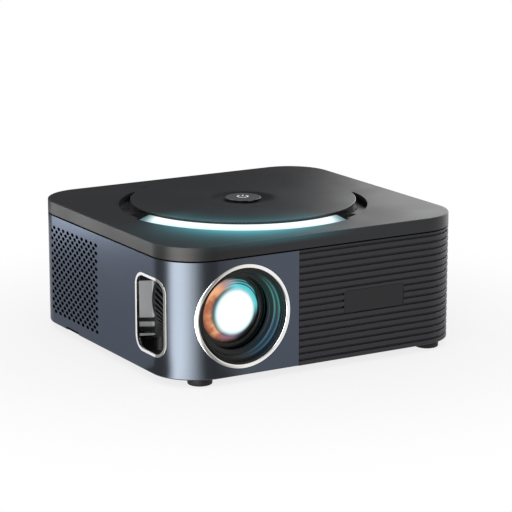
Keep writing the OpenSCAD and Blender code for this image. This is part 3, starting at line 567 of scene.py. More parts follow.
def drawn_metal(name, rgb, roughness):
    """Bare metal with faint drawing lines."""
    finish = Finish(name, rgb, roughness, Metallic=1.0)
    lines = finish.node("ShaderNodeMapping", None, finish.place(), Scale=(40, 900, 900))
    streaks = finish.noise(1.0, 3, lines)
    finish.roughen(streaks, roughness * 0.8, roughness * 1.25)
    finish.tint(streaks, rgb, 0.9, 1.05)
    finish.bump(streaks, 0.15, 0.01)


def metallic_lacquer(rgb):
    """Metallic lacquer: fine bright flakes, slightly clouded."""
    finish = Finish("metallic_lacquer", rgb, 0.25, Metallic=1.0, Specular_Tint=(0.6, 0.6, 0.63, 1))
    flakes = finish.noise(3800, 1)
    finish.tint(flakes, rgb, 0.8, 1.2)
    finish.roughen(finish.noise(14, 3), 0.23, 0.27)
    finish.bump(flakes, 0.06, 0.01)


def bright_trim():
    """Satin chrome, with faint wear in its gloss."""
    rgb = linear(225, 229, 233)
    finish = Finish("bright_trim", rgb, 0.2, Metallic=1.0)
    wear = finish.noise(140, 4)
    finish.set("Roughness", finish.span(wear, 0.35, 0.7, 0.16, 0.27))
    finish.tint(wear, rgb, 0.96, 1.0)


def strip_mask(nodes, lid, blur):
    """A mask of one along the light strip, which fades at its slanting ends, with the radius and height.

    The radius is counted from the lid's centre. The angles and the fade's length, blur, are in turns."""
    across, back, up = nodes.axes(LID_CENTRE)
    radius, turns = nodes.polar(across, back)
    middle = (lid.strip_start + lid.strip_end) / 2 / FULL_TURN
    half = (lid.strip_end - lid.strip_start) / 2 / FULL_TURN
    end_slant, end_margin = 0.006, 0.002
    slant = nodes.span(radius, lid.opening_radius, lid.channel_radius, 0.0, end_slant)
    away = (turns - middle).maths("ABSOLUTE")
    return nodes.fade(away + slant, half - blur, half - end_margin), radius, up


def cap_plastic(rgb, glow, lid):
    """The cap's satin plastic, with painted shade that makes it dark deep in its cut-outs, and the strip's
    light painted as a glow on the top.
    """
    finish = moulded("cap_plastic", rgb, 0.42)
    along, radius, up = strip_mask(finish, lid, 0.148)
    edge = lid.channel_radius
    # Painted shade: deep in the channel and scoops, the colour is painted down to 0.06 of its tone.
    deep = finish.fade(up, CAP_HIGH.z - 4 * MM, CAP_HIGH.z - 0.6 * MM)
    deep = deep * finish.fade(radius, edge + 0.2 * MM, edge + 0.8 * MM)
    finish.set("Base Color", finish.mix(deep, finish.tone, scaled(rgb, 0.06)))
    # Painted light: the strip's glow is painted on the cap's top as emission that fades with distance from
    # the channel.
    spill_length = 14.5 * MM
    spill = ((radius - edge) / -spill_length).maths("EXPONENT")
    top = finish.span(up, CAP_HIGH.z - 5 * MM, CAP_HIGH.z - 0.2 * MM)
    finish.shine(finish.mix(spill * along * top, BLACK, glow))


def lid_plastic(rgb, glow, lid):
    """The lid's satin plastic, with painted shade in the dish, and the strip's light painted as a glow on the
    upper edge of its rim.
    """
    finish = moulded("lid_plastic", rgb, 0.4)
    along, radius, up = strip_mask(finish, lid, 0.06)
    # Painted shade: inside the dish, towards the button, the colour is painted near black.
    shade = finish.span(radius, lid.dish_radius - 1.5 * MM, lid.dish_radius + 1 * MM, 0.06, 1.0)
    finish.set("Base Color", finish.mix(shade, BLACK, finish.tone))
    # Painted light: the strip's glow is painted as emission on the rim's upper edge.
    spill_length = 10 * MM
    spill = ((radius - LID_RADIUS) / spill_length).maths("EXPONENT")
    top = finish.span(up, LID_HIGH.z - 1.1 * MM, LID_HIGH.z - 0.1 * MM)
    finish.shine(finish.mix(spill * along * top, BLACK, scaled(glow, 0.22)))


def light_strip(rgb, glow, lid):
    """The lit diffuser: bright and slightly bluer at its outer side, and dim at both ends."""
    finish = Finish("light_strip", linear(64, 92, 96), 0.5)
    along, radius, _ = strip_mask(finish, lid, 0.026)
    dim = finish.mix(finish.noise(60, 2), scaled(glow, 0.2), scaled(glow, 0.3))
    outer = finish.span(radius, lid.opening_radius + 5 * MM, lid.channel_radius - 0.4 * MM)
    lit = finish.mix(outer, rgb, linear(210, 245, 253))
    finish.shine(finish.mix(along, dim, lit))


def lit_front_glass():
    """The coated front lens with the lamp's light painted in it as a glow: a white core, and an orange and a
    cyan rim that are painted reflections of its coatings.
    """
    finish = Finish("lit_front_glass", linear(14, 16, 18), 0.06, Specular_IOR_Level=0.6)
    across, up, radius, turns = finish.round_lens()
    core, core_turns = finish.polar(across - 3.4 * MM, up + 1.4 * MM)
    swirl = finish.noise(90, 2)
    grey = finish.mix(finish.span(swirl, 0.35, 0.65), linear(30, 30, 32), linear(62, 61, 64))
    amber = finish.mix(finish.span(swirl, 0.4, 0.62), linear(176, 104, 72), linear(246, 180, 132))
    cyan = linear(96, 214, 222)
    left = finish.band(turns, 0.27, 0.73, 0.08)
    tips = finish.band(turns, 0.19, 0.31, 0.05) + finish.band(turns, 0.68, 0.82, 0.05)
    upper = finish.band((core_turns + 0.25).maths("FRACT"), 0.24, 0.54, 0.05)
    lower = finish.band(core_turns, 0.28, 0.7, 0.06)
    # Painted light: a glowing ground, painted reflections in amber, cyan, teal and purple, and a painted
    # white core, all as emission.
    light = grey
    for mask, rgb in (
            (left * finish.ring(radius, 14.5, 20.7, 2.2), amber),
            (tips * finish.ring(radius, 16, 20, 1.6) * 0.6, linear(150, 120, 150)),
            (upper * finish.ring(core, 15.5, 18.6, 0.4) * 0.9, cyan),
            (upper * finish.ring(core, 19.4, 20.2, 0.4) * 0.75, cyan),
            (upper * finish.ring(core, 21.0, 21.6, 0.4) * 0.6, cyan),
            (lower * finish.ring(core, 16.2, 17.4, 0.5) * 0.75, linear(70, 96, 108)),
            (finish.fade(core, 14 * MM, 17 * MM), linear(196, 244, 248)),
            (finish.fade(core, 12.8 * MM, 15.6 * MM), WHITE)):
        light = finish.mix(mask, light, rgb)
    finish.shine(light)


def hood_black():
    """The hood's black plastic, with thin painted teal reflections of the lens on the steps of its right
    side.
    """
    finish = moulded("hood_black", linear(11, 11, 12), 0.32)
    _, up, radius, turns = finish.round_lens()
    # Painted reflections: thin teal rings on the steps, on the right side only, as emission.
    side = finish.band((turns + 0.25).maths("FRACT"), 0.06, 0.37, 0.07)
    steps = (
        finish.ring(radius, 27.9, 28.3, 0.25)
        + finish.ring(radius, 29.0, 29.5, 0.3) * 0.8
        + finish.ring(radius, 25.2, 31.5, 0.6) * 0.1)
    teal = finish.mix(finish.span(up, -14 * MM, 8 * MM), linear(28, 92, 122), linear(58, 138, 134))
    finish.shine(finish.mix(steps * side, BLACK, teal))


def grip_black():
    """The focus ring's black plastic, with a painted highlight that makes the tops of its ribs lighter."""
    finish = moulded("grip_black", linear(20, 20, 21), 0.3, gloss=0.6)
    low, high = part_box("focus_ring")
    outer = (high.x - low.x) / 2
    # Painted highlight: the outer 0.7 mm of the ribs is painted light grey.
    rib_top_highlight = finish.span(finish.round_lens()[2], outer - 0.7 * MM, outer - 0.1 * MM)
    finish.set("Base Color", finish.mix(rib_top_highlight, linear(12, 12, 13), linear(120, 123, 126)))


def button_plastic():
    """The button's plastic, pale on its top, with painted shade that makes it black down its side."""
    rgb = linear(86, 88, 92)
    finish = moulded("button_plastic", rgb, 0.35)
    up = finish.axes()[2]
    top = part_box("power_button")[1].z
    # Painted shade: below its top edge, the button's side is painted black.
    finish.set("Base Color", finish.mix(finish.span(up, top - 0.55 * MM, top - 0.3 * MM), BLACK, rgb))


def white_print():
    """White print on the button, faintly lit from below."""
    finish = moulded("white_print", linear(205, 208, 212), 0.5, 0.1)
    finish.shine(linear(205, 212, 220), 0.35)


def printed_board():
    """Green circuit board with a grid of tracks."""
    finish = Finish("board_green", linear(24, 70, 44), 0.4)
    grid = finish.node("ShaderNodeMapping", None, finish.place(), Scale=(220, 220, 220))
    finish.set("Base Color", finish.node(
        "ShaderNodeTexBrick", None, grid, Color1=as_colour(linear(20, 62, 40)),
        Color2=as_colour(linear(28, 82, 52)), Mortar=as_colour(linear(60, 110, 70))))
    finish.bump(finish.noise(500), 0.2, 0.02)


def cone_paper():
    """Pressed speaker paper, grey with loose fibres."""
    rgb = linear(34, 34, 36)
    finish = Finish("cone_paper", rgb, 0.85)
    fibres = finish.noise(700, 4)
    finish.tint(fibres, rgb, 0.7, 1.5)
    finish.bump(fibres, 0.5, 0.05)


def rubber():
    """Black rubber with some dust on it."""
    rgb = linear(24, 24, 25)
    finish = Finish("rubber_black", rgb, 0.8)
    dust = finish.noise(90, 5)
    finish.set("Base Color", finish.mix(finish.span(dust, 0.45, 0.75), rgb, linear(46, 46, 48)))
    finish.roughen(dust, 0.72, 0.88)
    finish.bump(finish.noise(1200), 0.3, 0.03)


def cast_aluminium(name, rgb, roughness):
    """Cast alloy with a coarse grain."""
    finish = Finish(name, rgb, roughness, Metallic=0.85)
    grain = finish.noise(700, 3)
    finish.tint(finish.noise(35, 3), rgb, 0.85, 1.1)
    finish.roughen(grain, roughness - 0.08, roughness + 0.1)
    finish.bump(grain, 0.35, 0.03)


def engine_plate():
    """Pale alloy of the ledges behind the focus window, with the light of the lamp beside them painted on as
    a faint glow.
    """
    rgb = linear(178, 180, 180)
    finish = Finish("engine_plate", rgb, 0.45, Metallic=0.2)
    _, back, up = finish.axes()
    finish.tint(finish.noise(60, 3), rgb, 0.85, 1.0)
    # Painted light: emission that is brighter higher up and towards the back of the ledges.
    near = finish.span(back, -38 * MM, -18 * MM, 0.75, 1.0) * finish.span(up, 22 * MM, 36 * MM, 0.55, 1.0)
    finish.shine(finish.mix(near, linear(60, 60, 61), linear(146, 147, 148)))
    finish.bump(finish.noise(700, 3), 0.3, 0.02)


def clear_glass(name, rgb, roughness=0.04):
    """Coated glass, dark from outside, with a faint tint that drifts over it."""
    finish = Finish(name, rgb, roughness, Specular_IOR_Level=0.7)
    drift = finish.noise(45, 2)
    finish.tint(drift, rgb, 0.6, 1.5)
    finish.roughen(drift, roughness, roughness + 0.04)


# Each plain finish: what makes it, its name and screen colour, then its roughness and any other values.
PLAIN_FINISHES = (
    (moulded, "plate_plastic", (25, 25, 28), 0.4, 0.15),
    (moulded, "rear_plastic", (38, 38, 41), 0.5),
    # Near-black: the seam frame, and the blocks that stand for shade at the strip's ends and behind the side
    # notch.
    (moulded, "seam_plastic", (4, 4, 5), 0.9, 0.3, 0.05),
    (moulded, "inner_plastic", (22, 22, 24), 0.6),
    (moulded, "well_plastic", (30, 30, 32), 0.5),
    (moulded, "fan_plastic", (20, 20, 22), 0.4),
    (moulded, "red_plastic", (70, 8, 12), 0.15, 0.05),
    (clear_glass, "coated_glass", (30, 36, 60)),
    (clear_glass, "panel_glass", (60, 70, 74), 0.12),
    (clear_glass, "pickup_glass", (50, 70, 120)),
    (drawn_metal, "plated_steel", (190, 192, 195), 0.28),
    (drawn_metal, "copper_pipe", (196, 118, 80), 0.3),
    (drawn_metal, "insert_brass", (200, 168, 96), 0.3),
    (cast_aluminium, "engine_alloy", (120, 122, 124), 0.5),
    (cast_aluminium, "sink_alloy", (150, 152, 156), 0.42),
)


class MakeFinishes(Operator):
    """Makes the procedural materials of all pieces."""
    bl_idname = "projector.finishes"
    bl_label = "Finishes"

    def execute(self, context):
        colours = context.scene.projector_finishes
        lid = context.scene.projector_lid
        metallic_lacquer(colours.lacquer)
        moulded("rib_plastic", colours.ribs, 0.48)
        cap_plastic(colours.cap, colours.glow, lid)
        lid_plastic(colours.lid, colours.glow, lid)
        light_strip(colours.light, colours.glow, lid)
        for make in (
                bright_trim, hood_black, lit_front_glass, grip_black, button_plastic, white_print,
                engine_plate, printed_board, cone_paper, rubber):
            make()
        for make, name, rgb, *values in PLAIN_FINISHES:
            make(name, linear(*rgb), *values)
        return {"FINISHED"}


# ---- Case ----


def side_frame(x, low, high, margin=0.0):
    """Corners of an upright frame at x, from low to high in Y and Z, grown by a margin."""
    return [
        (x, low.y - margin, low.z - margin), (x, high.y + margin, low.z - margin),
        (x, high.y + margin, high.z + margin), (x, low.y - margin, high.z + margin),
    ]


def window_bar(x, depth, margin, corner, segments=12):
    """A bar from x inwards with the outline of the focus window's frame, grown by a margin."""
    frame_points = side_frame(x, WINDOW_LOW, WINDOW_HIGH, margin)
    return prism(frame_points, Vector((depth, 0, 0)), four_corners(corner), segments)


def vent_holes(sizes):
    """Oval cutters through the left wall, in rows that are staggered by half a pitch."""
    front, low = 5 * MM, 14.7 * MM
    pitch_y, pitch_z = mm(7.3, 2.8)
    oval = Matrix.Diagonal((1, sizes.vent_width / 2, sizes.vent_height / 2, 1))
    holes = []
    for row in range(sizes.vent_rows):
        for column in range(sizes.vent_columns):
            y = front + pitch_y * (column + (0.75 if row % 2 else 0.25))
            place = Matrix.Translation((LEFT_X, y, low + pitch_z * row))
            hole = rod(mm(-1, 0, 0), mm(4, 0, 0), 1, 12)
            bmesh.ops.transform(hole, matrix=place @ oval, verts=hole.verts)
            holes.append(hole)
    return holes


class SideShell(Operator):
    """Builds the metallic walls on the left, with the openings for lens, window, vent and grip."""
    bl_idname = "projector.side_shell"
    bl_label = "Side shell"

    def execute(self, context):
        sizes = context.scene.projector_case
        start = SHELL_HIGH.x
        z0, z1 = SHELL_LOW.z, SHELL_HIGH.z
        inner = FRONT_Y + sizes.wall
        wall = bmesh.new()
        profile = [(start, FRONT_Y, z0), (start, FRONT_Y, z1), (start, inner, z1), (start, inner, z0)]
        edges = outline(wall, profile, rounds=[(0, sizes.foot_round), (1, 0.3 * MM)])
        sweep(wall, edges, half_way_round(-1, start, 40))
        tidy(wall, fill=True)

        clearance = 0.1 * MM
        before, reach = 5 * MM, 25 * MM
        corner = context.scene.projector_lens.window_corner + clearance
        window = window_bar(LEFT_X - before, reach, clearance, corner, 8)
        lens = rod(
            LENS_AXIS + Vector((0, FRONT_Y - before, 0)), LENS_AXIS + Vector((0, FRONT_Y + reach, 0)),
            LENS_RADIUS + clearance, 128)
        notch_front, notch_back, notch_height = 36 * MM, 56 * MM, 2.4 * MM
        notch = box(
            Vector((LEFT_X - 1 * MM, notch_front, z0 - 1 * MM)),
            Vector((LEFT_X + 5 * MM, notch_back, z0 + notch_height)))
        holes = [window, lens, soften(notch, 0.8 * MM)] + vent_holes(sizes)
        piece("side_shell_skin", combine(wall, join(*holes)), "metallic_lacquer", replaces=["side_shell"])
        # Painted shade: a near-black plate behind the notch stands for the shade inside the case.
        backing = box(
            Vector((LEFT_X + 1.3 * MM, notch_front + clearance, z0 + clearance / 2)),
            Vector((LEFT_X + sizes.wall, notch_back - clearance, z0 + notch_height - clearance / 2)))
        piece("notch_shade_backing", soften(backing, 0.2 * MM), "seam_plastic")
        return {"FINISHED"}


class RibbedGrille(Operator):
    """Builds the ribbed walls on the right, with the bare plate on their front."""
    bl_idname = "projector.ribbed_grille"
    bl_label = "Ribbed grille"

    def execute(self, context):
        sizes = context.scene.projector_case
        start = GRILLE_LOW.x
        z0, z1 = GRILLE_LOW.z, GRILLE_HIGH.z
        inner = FRONT_Y + sizes.wall
        groove = FRONT_Y + sizes.groove_depth
        points = [(start, inner, z0)]
        z = z0
        while z < z1:
            top = min(z + sizes.rib_height, z1)
            points += [(start, FRONT_Y, z), (start, FRONT_Y, top)]
            z += sizes.rib_pitch
            if z < z1:
                points += [(start, groove, top), (start, groove, z)]
        points.append((start, inner, z1))
        crest_round, groove_round = 0.5 * MM, 0.25 * MM
        rounds = [
            (index, crest_round if point[1] == FRONT_Y else groove_round)
            for index, point in enumerate(points[:-1]) if index > 0
        ]
        wall = bmesh.new()
        edges = outline(wall, points, rounds=rounds, segments=3)
        sweep(wall, edges, half_way_round(1, start, 28))
        tidy(wall, fill=True)
        plate_low, plate_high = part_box("label_plate")
        margin = mm(0.12, 0, 0.12)
        seat = rounded_plate(plate_low - margin - mm(0, 2, 0), plate_high + margin, 2.3 * MM)
        piece("grille_ribs", combine(wall, seat), "rib_plastic", replaces=["ribbed_grille"])
        plate = soften(rounded_plate(plate_low, plate_high, 2.2 * MM), 0.3 * MM, 3)
        piece("bare_plate", plate, "plate_plastic", replaces=["label_plate"])
        return {"FINISHED"}


def rounded_plate(low, high, radius):
    """An upright plate facing the front, with round corners."""
    points = [(low.x, low.y, low.z), (high.x, low.y, low.z), (high.x, low.y, high.z), (low.x, low.y, high.z)]
    return prism(points, Vector((0, high.y - low.y, 0)), four_corners(radius))


class TopCap(Operator):
    """Builds the top cap with its opening, light channel, finger scoops and hinge seats."""
    bl_idname = "projector.top_cap"
    bl_label = "Top cap"

    def execute(self, context):
        lid = context.scene.projector_lid
        z0, z1 = CAP_LOW.z, CAP_HIGH.z
        above = z1 + 1 * MM
        opening = rod(
            LID_CENTRE + Vector((0, 0, z0 - 1 * MM)), LID_CENTRE + Vector((0, 0, above)),
            lid.opening_radius, 160)
        cap = combine(rounded_slab(z0, z1, context.scene.projector_case.cap_round, 40), opening)

        inside = lid.opening_radius - 1 * MM
        outside = lid.channel_radius
        channel = [(inside, CHANNEL_FLOOR), (outside, CHANNEL_FLOOR), (outside, above), (inside, above)]
        slit = math.radians(0.4)
        rear = (math.radians(66), math.radians(114))
        for angles in ((lid.strip_start - slit, lid.strip_end + slit), rear):
            cap = combine(cap, lathe(channel, LID_CENTRE, 90, closed=True, angles=angles))
        for edge, way in ((lid.strip_start - lid.strip_gap, -1), (lid.strip_end + lid.strip_gap, 1)):
            cap = combine(cap, finger_scoop(lid, edge, way, above))
        for hinge in (-28, 28):
            for cheek in (-5.8, 5.8):
                face = (hinge + cheek) * MM - 2 * MM
                boss = prism(
                    side_frame(face, mm(0, 81, 87.5), mm(0, 87, 93)), Vector((4 * MM, 0, 0)),
                    [(2, 2.9 * MM), (3, 2.9 * MM)])
                cap = combine(cap, boss, "UNION")
            cap = combine(cap, box(mm(hinge - 3.8, 74.5, 86.7), mm(hinge + 3.8, 87.3, 96)))
        piece("cap_shell", cap, "cap_plastic", replaces=["top_cap"], smooth=35)
        return {"FINISHED"}


def finger_scoop(lid, edge, way, above):
    """A cutter beside the channel: a deep gap, then a lane that falls towards its slanting far end."""
    far = edge + way * lid.scoop_length
    inside = lid.opening_radius - 1 * MM
    outer = lid.scoop_radius
    gap_end = math.radians(7)
    gap_radius = outer - 1 * MM
    gap_wall = 0.1 * MM
    shallow, drop = 0.4 * MM, 4.8 * MM
    falling_share, curve = 0.6, 1.2
    profile = [
        (inside, 0), (gap_radius, 0), (gap_radius + gap_wall, 0), (outer, 0), (outer, above), (inside, above)]
    lane = lathe(
        profile, LID_CENTRE, 69, closed=True, angles=sorted((edge - way * lid.strip_gap, far)))
    for vert in lane.verts:
        place = vert.co - LID_CENTRE
        passed = way * (math.atan2(place.y, place.x) % FULL_TURN - edge)
        fall = min(max(passed / lid.scoop_length, 0) / falling_share, 1) ** curve
        if place.z < above / 2:
            in_gap = passed < gap_end and place.xy.length < gap_radius + gap_wall / 2
            vert.co.z = CHANNEL_FLOOR if in_gap else CAP_HIGH.z - shallow - drop * fall
    tip = LID_CENTRE + Matrix.Rotation(far, 3, "Z") @ Vector((lid.opening_radius, 0, 0))
    heel = LID_CENTRE + Matrix.Rotation(far - way * lid.scoop_slant, 3, "Z") @ Vector((outer, 0, 0))
    bmesh.ops.bisect_plane(
        lane, geom=all_of(lane), dist=CUT, plane_co=tip, plane_no=(heel - tip).cross(UP) * way,
        clear_inner=True)
    return tidy(lane, fill=True)


class RearPanel(Operator):
    """Builds the rear panel with its louvres, sockets, infrared window and mains inlet."""
    bl_idname = "projector.rear_panel"
    bl_label = "Rear panel and sockets"

    def execute(self, context):
        softened("rear_skin", "rear_panel", "rear_plastic", 0.3)
        for node, finish, width in (
                ("hdmi_sockets", "plated_steel", 0.12), ("usb_socket", "plated_steel", 0.12),
                ("audio_jack", "inner_plastic", 0.12), ("mains_inlet", "inner_plastic", 0.3),
                ("ir_window", "red_plastic", 0.3)):
            softened(node + "_skin", node, finish, width)
        return {"FINISHED"}


class Underside(Operator):
    """Builds the base plate with its feet and their rubber pads."""
    bl_idname = "projector.underside"
    bl_label = "Underside"

    def execute(self, context):
        softened("base_skin", "base_plate", "rear_plastic", 0.25)
        low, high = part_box("feet")
        pad_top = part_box("foot_pads")[1].z
        radius = 8.35 * MM
        pad_radius = 6.7 * MM
        seat = low.z + 1 * MM
        feet = []
        pads = []
        for x in (low.x + radius, high.x - radius):
            for y in (low.y + radius, high.y - radius):
                centre = Vector((x, y, 0))
                feet.append(lathe(
                    [(0, seat), (pad_radius, seat), (pad_radius, low.z), (radius, low.z), (radius, high.z),
                     (0, high.z)],
                    centre, 64, rounds=[(3, 0.8 * MM)]))
                pads.append(lathe(
                    [(0, 0.3 * MM), (4.6 * MM, 0.3 * MM), (5.0 * MM, 0), (pad_radius, 0),
                     (pad_radius - 0.05 * MM, pad_top), (0, pad_top)],
                    centre, 64, rounds=[(3, 0.3 * MM)]))
        piece("feet_turned", join(*feet), "inner_plastic", replaces=["feet"])
        piece("pads_turned", join(*pads), "rubber_black", replaces=["foot_pads"])
        return {"FINISHED"}


# ---- Lens and focus window ----


class LensRing(Operator):
    """Builds the bright ring, which follows the curved corner, and the stepped black hood in it."""
    bl_idname = "projector.lens_ring"
    bl_label = "Lens ring and hood"

    def execute(self, context):
        outer = LENS_RADIUS
        inner = outer - context.scene.projector_lens.ring_width
        depth = 3 * MM
        ring = lens_lathe(
            [(outer, 0), (outer, depth), (inner, depth), (inner, 0)], 160,
            rounds=[(0, 0.5 * MM), (3, 0.9 * MM)], closed=True)
        for vert in ring.verts:
            vert.co.y += front_sag(vert.co.x)
        piece("lens_ring", tidy(ring), "bright_trim", replaces=["lens_bezel"])

        hood = lens_lathe(
            mm_points(
                (31.15, 0), (32.35, 0), (32.35, 9.5), (27.8, 11.5), (27.8, 13.5), (25.2, 13.5),
                (25.2, 10.5), (28, 9), (29.35, 4), (31.15, 4)),
            160, rounds=[(6, 0.4 * MM), (7, 0.6 * MM), (8, 0.5 * MM), (9, 0.3 * MM)],
            closed=True, segments=3)
        lip = 0.8 * MM
        for vert in hood.verts:
            vert.co.y = max(vert.co.y, FRONT_Y + lip + front_sag(vert.co.x))
        piece("hood_steps", tidy(hood), "hood_black", replaces=["lens_hood"])
        return {"FINISHED"}


class LensBarrel(Operator):
    """Builds the front lens and its barrel, which slide together."""
    bl_idname = "projector.lens_barrel"
    bl_label = "Lens barrel and front lens"

    def execute(self, context):
        front, back = (corner.y - FRONT_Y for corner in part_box("lens_barrel"))
        glass_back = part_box("front_lens")[1].y - FRONT_Y
        outer = 26 * MM
        bore = 20 * MM
        seat = 22.1 * MM
        seat_back = glass_back + 0.05 * MM
        barrel = lens_lathe(
            [(outer, front), (outer, back), (bore, back), (bore, seat_back), (seat, seat_back),
             (seat, front + 0.6 * MM), (seat + 1.2 * MM, front)],
            128, rounds=[(0, 0.6 * MM), (5, 0.4 * MM)], closed=True)
        piece("barrel_turned", tidy(barrel), "hood_black", body="barrel", replaces=["lens_barrel"])

        radius = 22 * MM
        dome = 63 * MM
        rings = 14
        rim_rise = math.sqrt(dome ** 2 - radius ** 2)
        edge_depth = front + dome - rim_rise
        profile = [(0, glass_back), (radius, glass_back)]
        for step in range(rings, -1, -1):
            r = radius * step / rings
            profile.append((r, edge_depth - (math.sqrt(dome ** 2 - r ** 2) - rim_rise)))
        glass = tidy(lens_lathe(profile, 96))
        piece("front_glass", glass, "lit_front_glass", body="barrel", replaces=["front_lens"], smooth=60)
        return {"FINISHED"}


class FocusWindow(Operator):
    """Builds the window's bright frame on the curved corner."""
    bl_idname = "projector.focus_window"
    bl_label = "Focus window"

    def execute(self, context):
        lens = context.scene.projector_lens
        width = lens.window_frame
        corner = lens.window_corner
        depth = 2.6 * MM
        rim = 0.9 * MM
        outer = window_bar(LEFT_X, depth, 0, corner)
        inner = window_bar(LEFT_X - 1 * MM, depth + 2 * MM, -width, corner - width)
        relief = window_bar(LEFT_X + 1 * MM, depth, -rim, corner - rim)
        ring = combine(combine(outer, inner), relief)
        bend = FRONT_Y + context.scene.projector_case.corner_radius - WINDOW_LOW.y
        cuts = 15
        for cut in range(1, cuts + 1):
            bmesh.ops.bisect_plane(
                ring, geom=all_of(ring), dist=CUT, plane_co=(0, WINDOW_LOW.y + bend * cut / cuts, 0),
                plane_no=(0, 1, 0))
        soften(ring, 0.45 * MM, 3)
        for vert in ring.verts:
            vert.co.x += side_sag(vert.co.y)
        piece("window_frame", tidy(ring), "bright_trim", replaces=["window_bezel"])
        return {"FINISHED"}


class FocusRing(Operator):
    """Builds the ribbed ring that the fingertip turns in the window."""
    bl_idname = "projector.focus_ring"
    bl_label = "Focus ring"

    def execute(self, context):
        lens = context.scene.projector_lens
        low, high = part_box("focus_ring")
        front = low.y - FRONT_Y
        back = high.y - FRONT_Y
        outer = (high.x - low.x) / 2
        core = outer - 1.4 * MM
        bore = 28.3 * MM
        ring = lens_lathe(
            [(core, front), (core, back), (bore, back), (bore, front)], 112,
            rounds=[(0, 0.8 * MM), (1, 0.8 * MM)], closed=True)
        half_rib = 0.75 * MM
        margin = 1.2 * MM
        rib = box(
            Vector((core - 0.4 * MM, -half_rib, front + margin)), Vector((outer, half_rib, back - margin)))
        soften(rib, 0.45 * MM)
        middle = (front + back) / 2
        for vert in rib.verts:
            slant = lens.rib_slant * (vert.co.z - middle) / (back - front)
            vert.co = Matrix.Rotation(slant, 3, "Z") @ vert.co
        count = lens.focus_ribs
        bmesh.ops.spin(
            rib, geom=all_of(rib), cent=(0, 0, 0), axis=UP, angle=FULL_TURN * (count - 1) / count,
            steps=count - 1, use_duplicate=True)
        ring = join(tidy(ring), face_lens(tidy(rib)))
        piece("focus_grip", ring, "grip_black", body="focus", replaces=["focus_ring"])
        return {"FINISHED"}


class EngineHousing(Operator):
    """Builds the light engine's grey housing, with the ledges that show in the focus window."""
    bl_idname = "projector.engine_housing"
    bl_label = "Engine housing"

    def execute(self, context):
        softened("engine_case", "engine_housing", "engine_alloy", 0.5)
        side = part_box("engine_housing")[0].x
        front, back = mm(-37, 8)
        ledges = []
        for low_front, high_front, low_back, high_back in (
                (32.5, 58.3, 21.9, 47.7), (26.2, 29.4, 15.6, 18.8), (20, 21.2, 8.2, 10.6)):
            corners = [
                (side, front, low_front * MM), (side, back, low_back * MM),
                (side, back, high_back * MM), (side, front, high_front * MM)]
            ledges.append(soften(prism(corners, mm(-1.6, 0, 0)), 0.4 * MM, 3))
        piece("engine_ledges", join(*ledges), "engine_plate")
        return {"FINISHED"}


# ---- Lid, light strip and disc drive ----


class LightStrip(Operator):
    """Builds the lit diffuser in the channel round the lid, and the black stops over its ends, near-black
    blocks that paint the shade where the channel ends.
    """
    bl_idname = "projector.light_strip"
    bl_label = "Light strip"

    def execute(self, context):
        lid = context.scene.projector_lid
        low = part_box("light_ring")[0]
        inner = lid.opening_radius + 0.4 * MM
        outer = lid.channel_radius - 0.4 * MM
        shoulder = inner + 1 * MM
        rim = CAP_HIGH.z - 0.7 * MM
        crest = CAP_HIGH.z + 1.9 * MM
        strip = lathe(
            [(inner, low.z), (outer, low.z), (outer, rim), (shoulder, crest), (inner, crest)],
            LID_CENTRE, 120, rounds=[(2, 0.8 * MM), (3, 1.5 * MM)], closed=True,
            angles=(lid.strip_start + lid.stop_lap, lid.strip_end - lid.stop_lap))
        piece("strip_diffuser", strip, "light_strip", replaces=["light_ring"])

        # Painted shade: the stops are near-black blocks where the channel's ends lie in the lid's shade.
        stop_radius = lid.scoop_radius - 1.1 * MM
        stop_base = CHANNEL_FLOOR + 0.1 * MM
        stop_crest = crest - 0.3 * MM
        reach = math.radians(6)
        lap = lid.stop_lap - math.radians(0.1)
        profile = [
            (inner, stop_base), (stop_radius, stop_base), (stop_radius, CAP_HIGH.z - 0.1 * MM),
            (shoulder, stop_crest), (inner, stop_crest)]
        stops = [
            lathe(profile, LID_CENTRE, 10, closed=True, angles=sorted((edge - way * lap, edge + way * reach)))
            for edge, way in ((lid.strip_start, -1), (lid.strip_end, 1))
        ]
        piece("strip_end_shades", soften(join(*stops), 0.2 * MM), "seam_plastic")
        return {"FINISHED"}


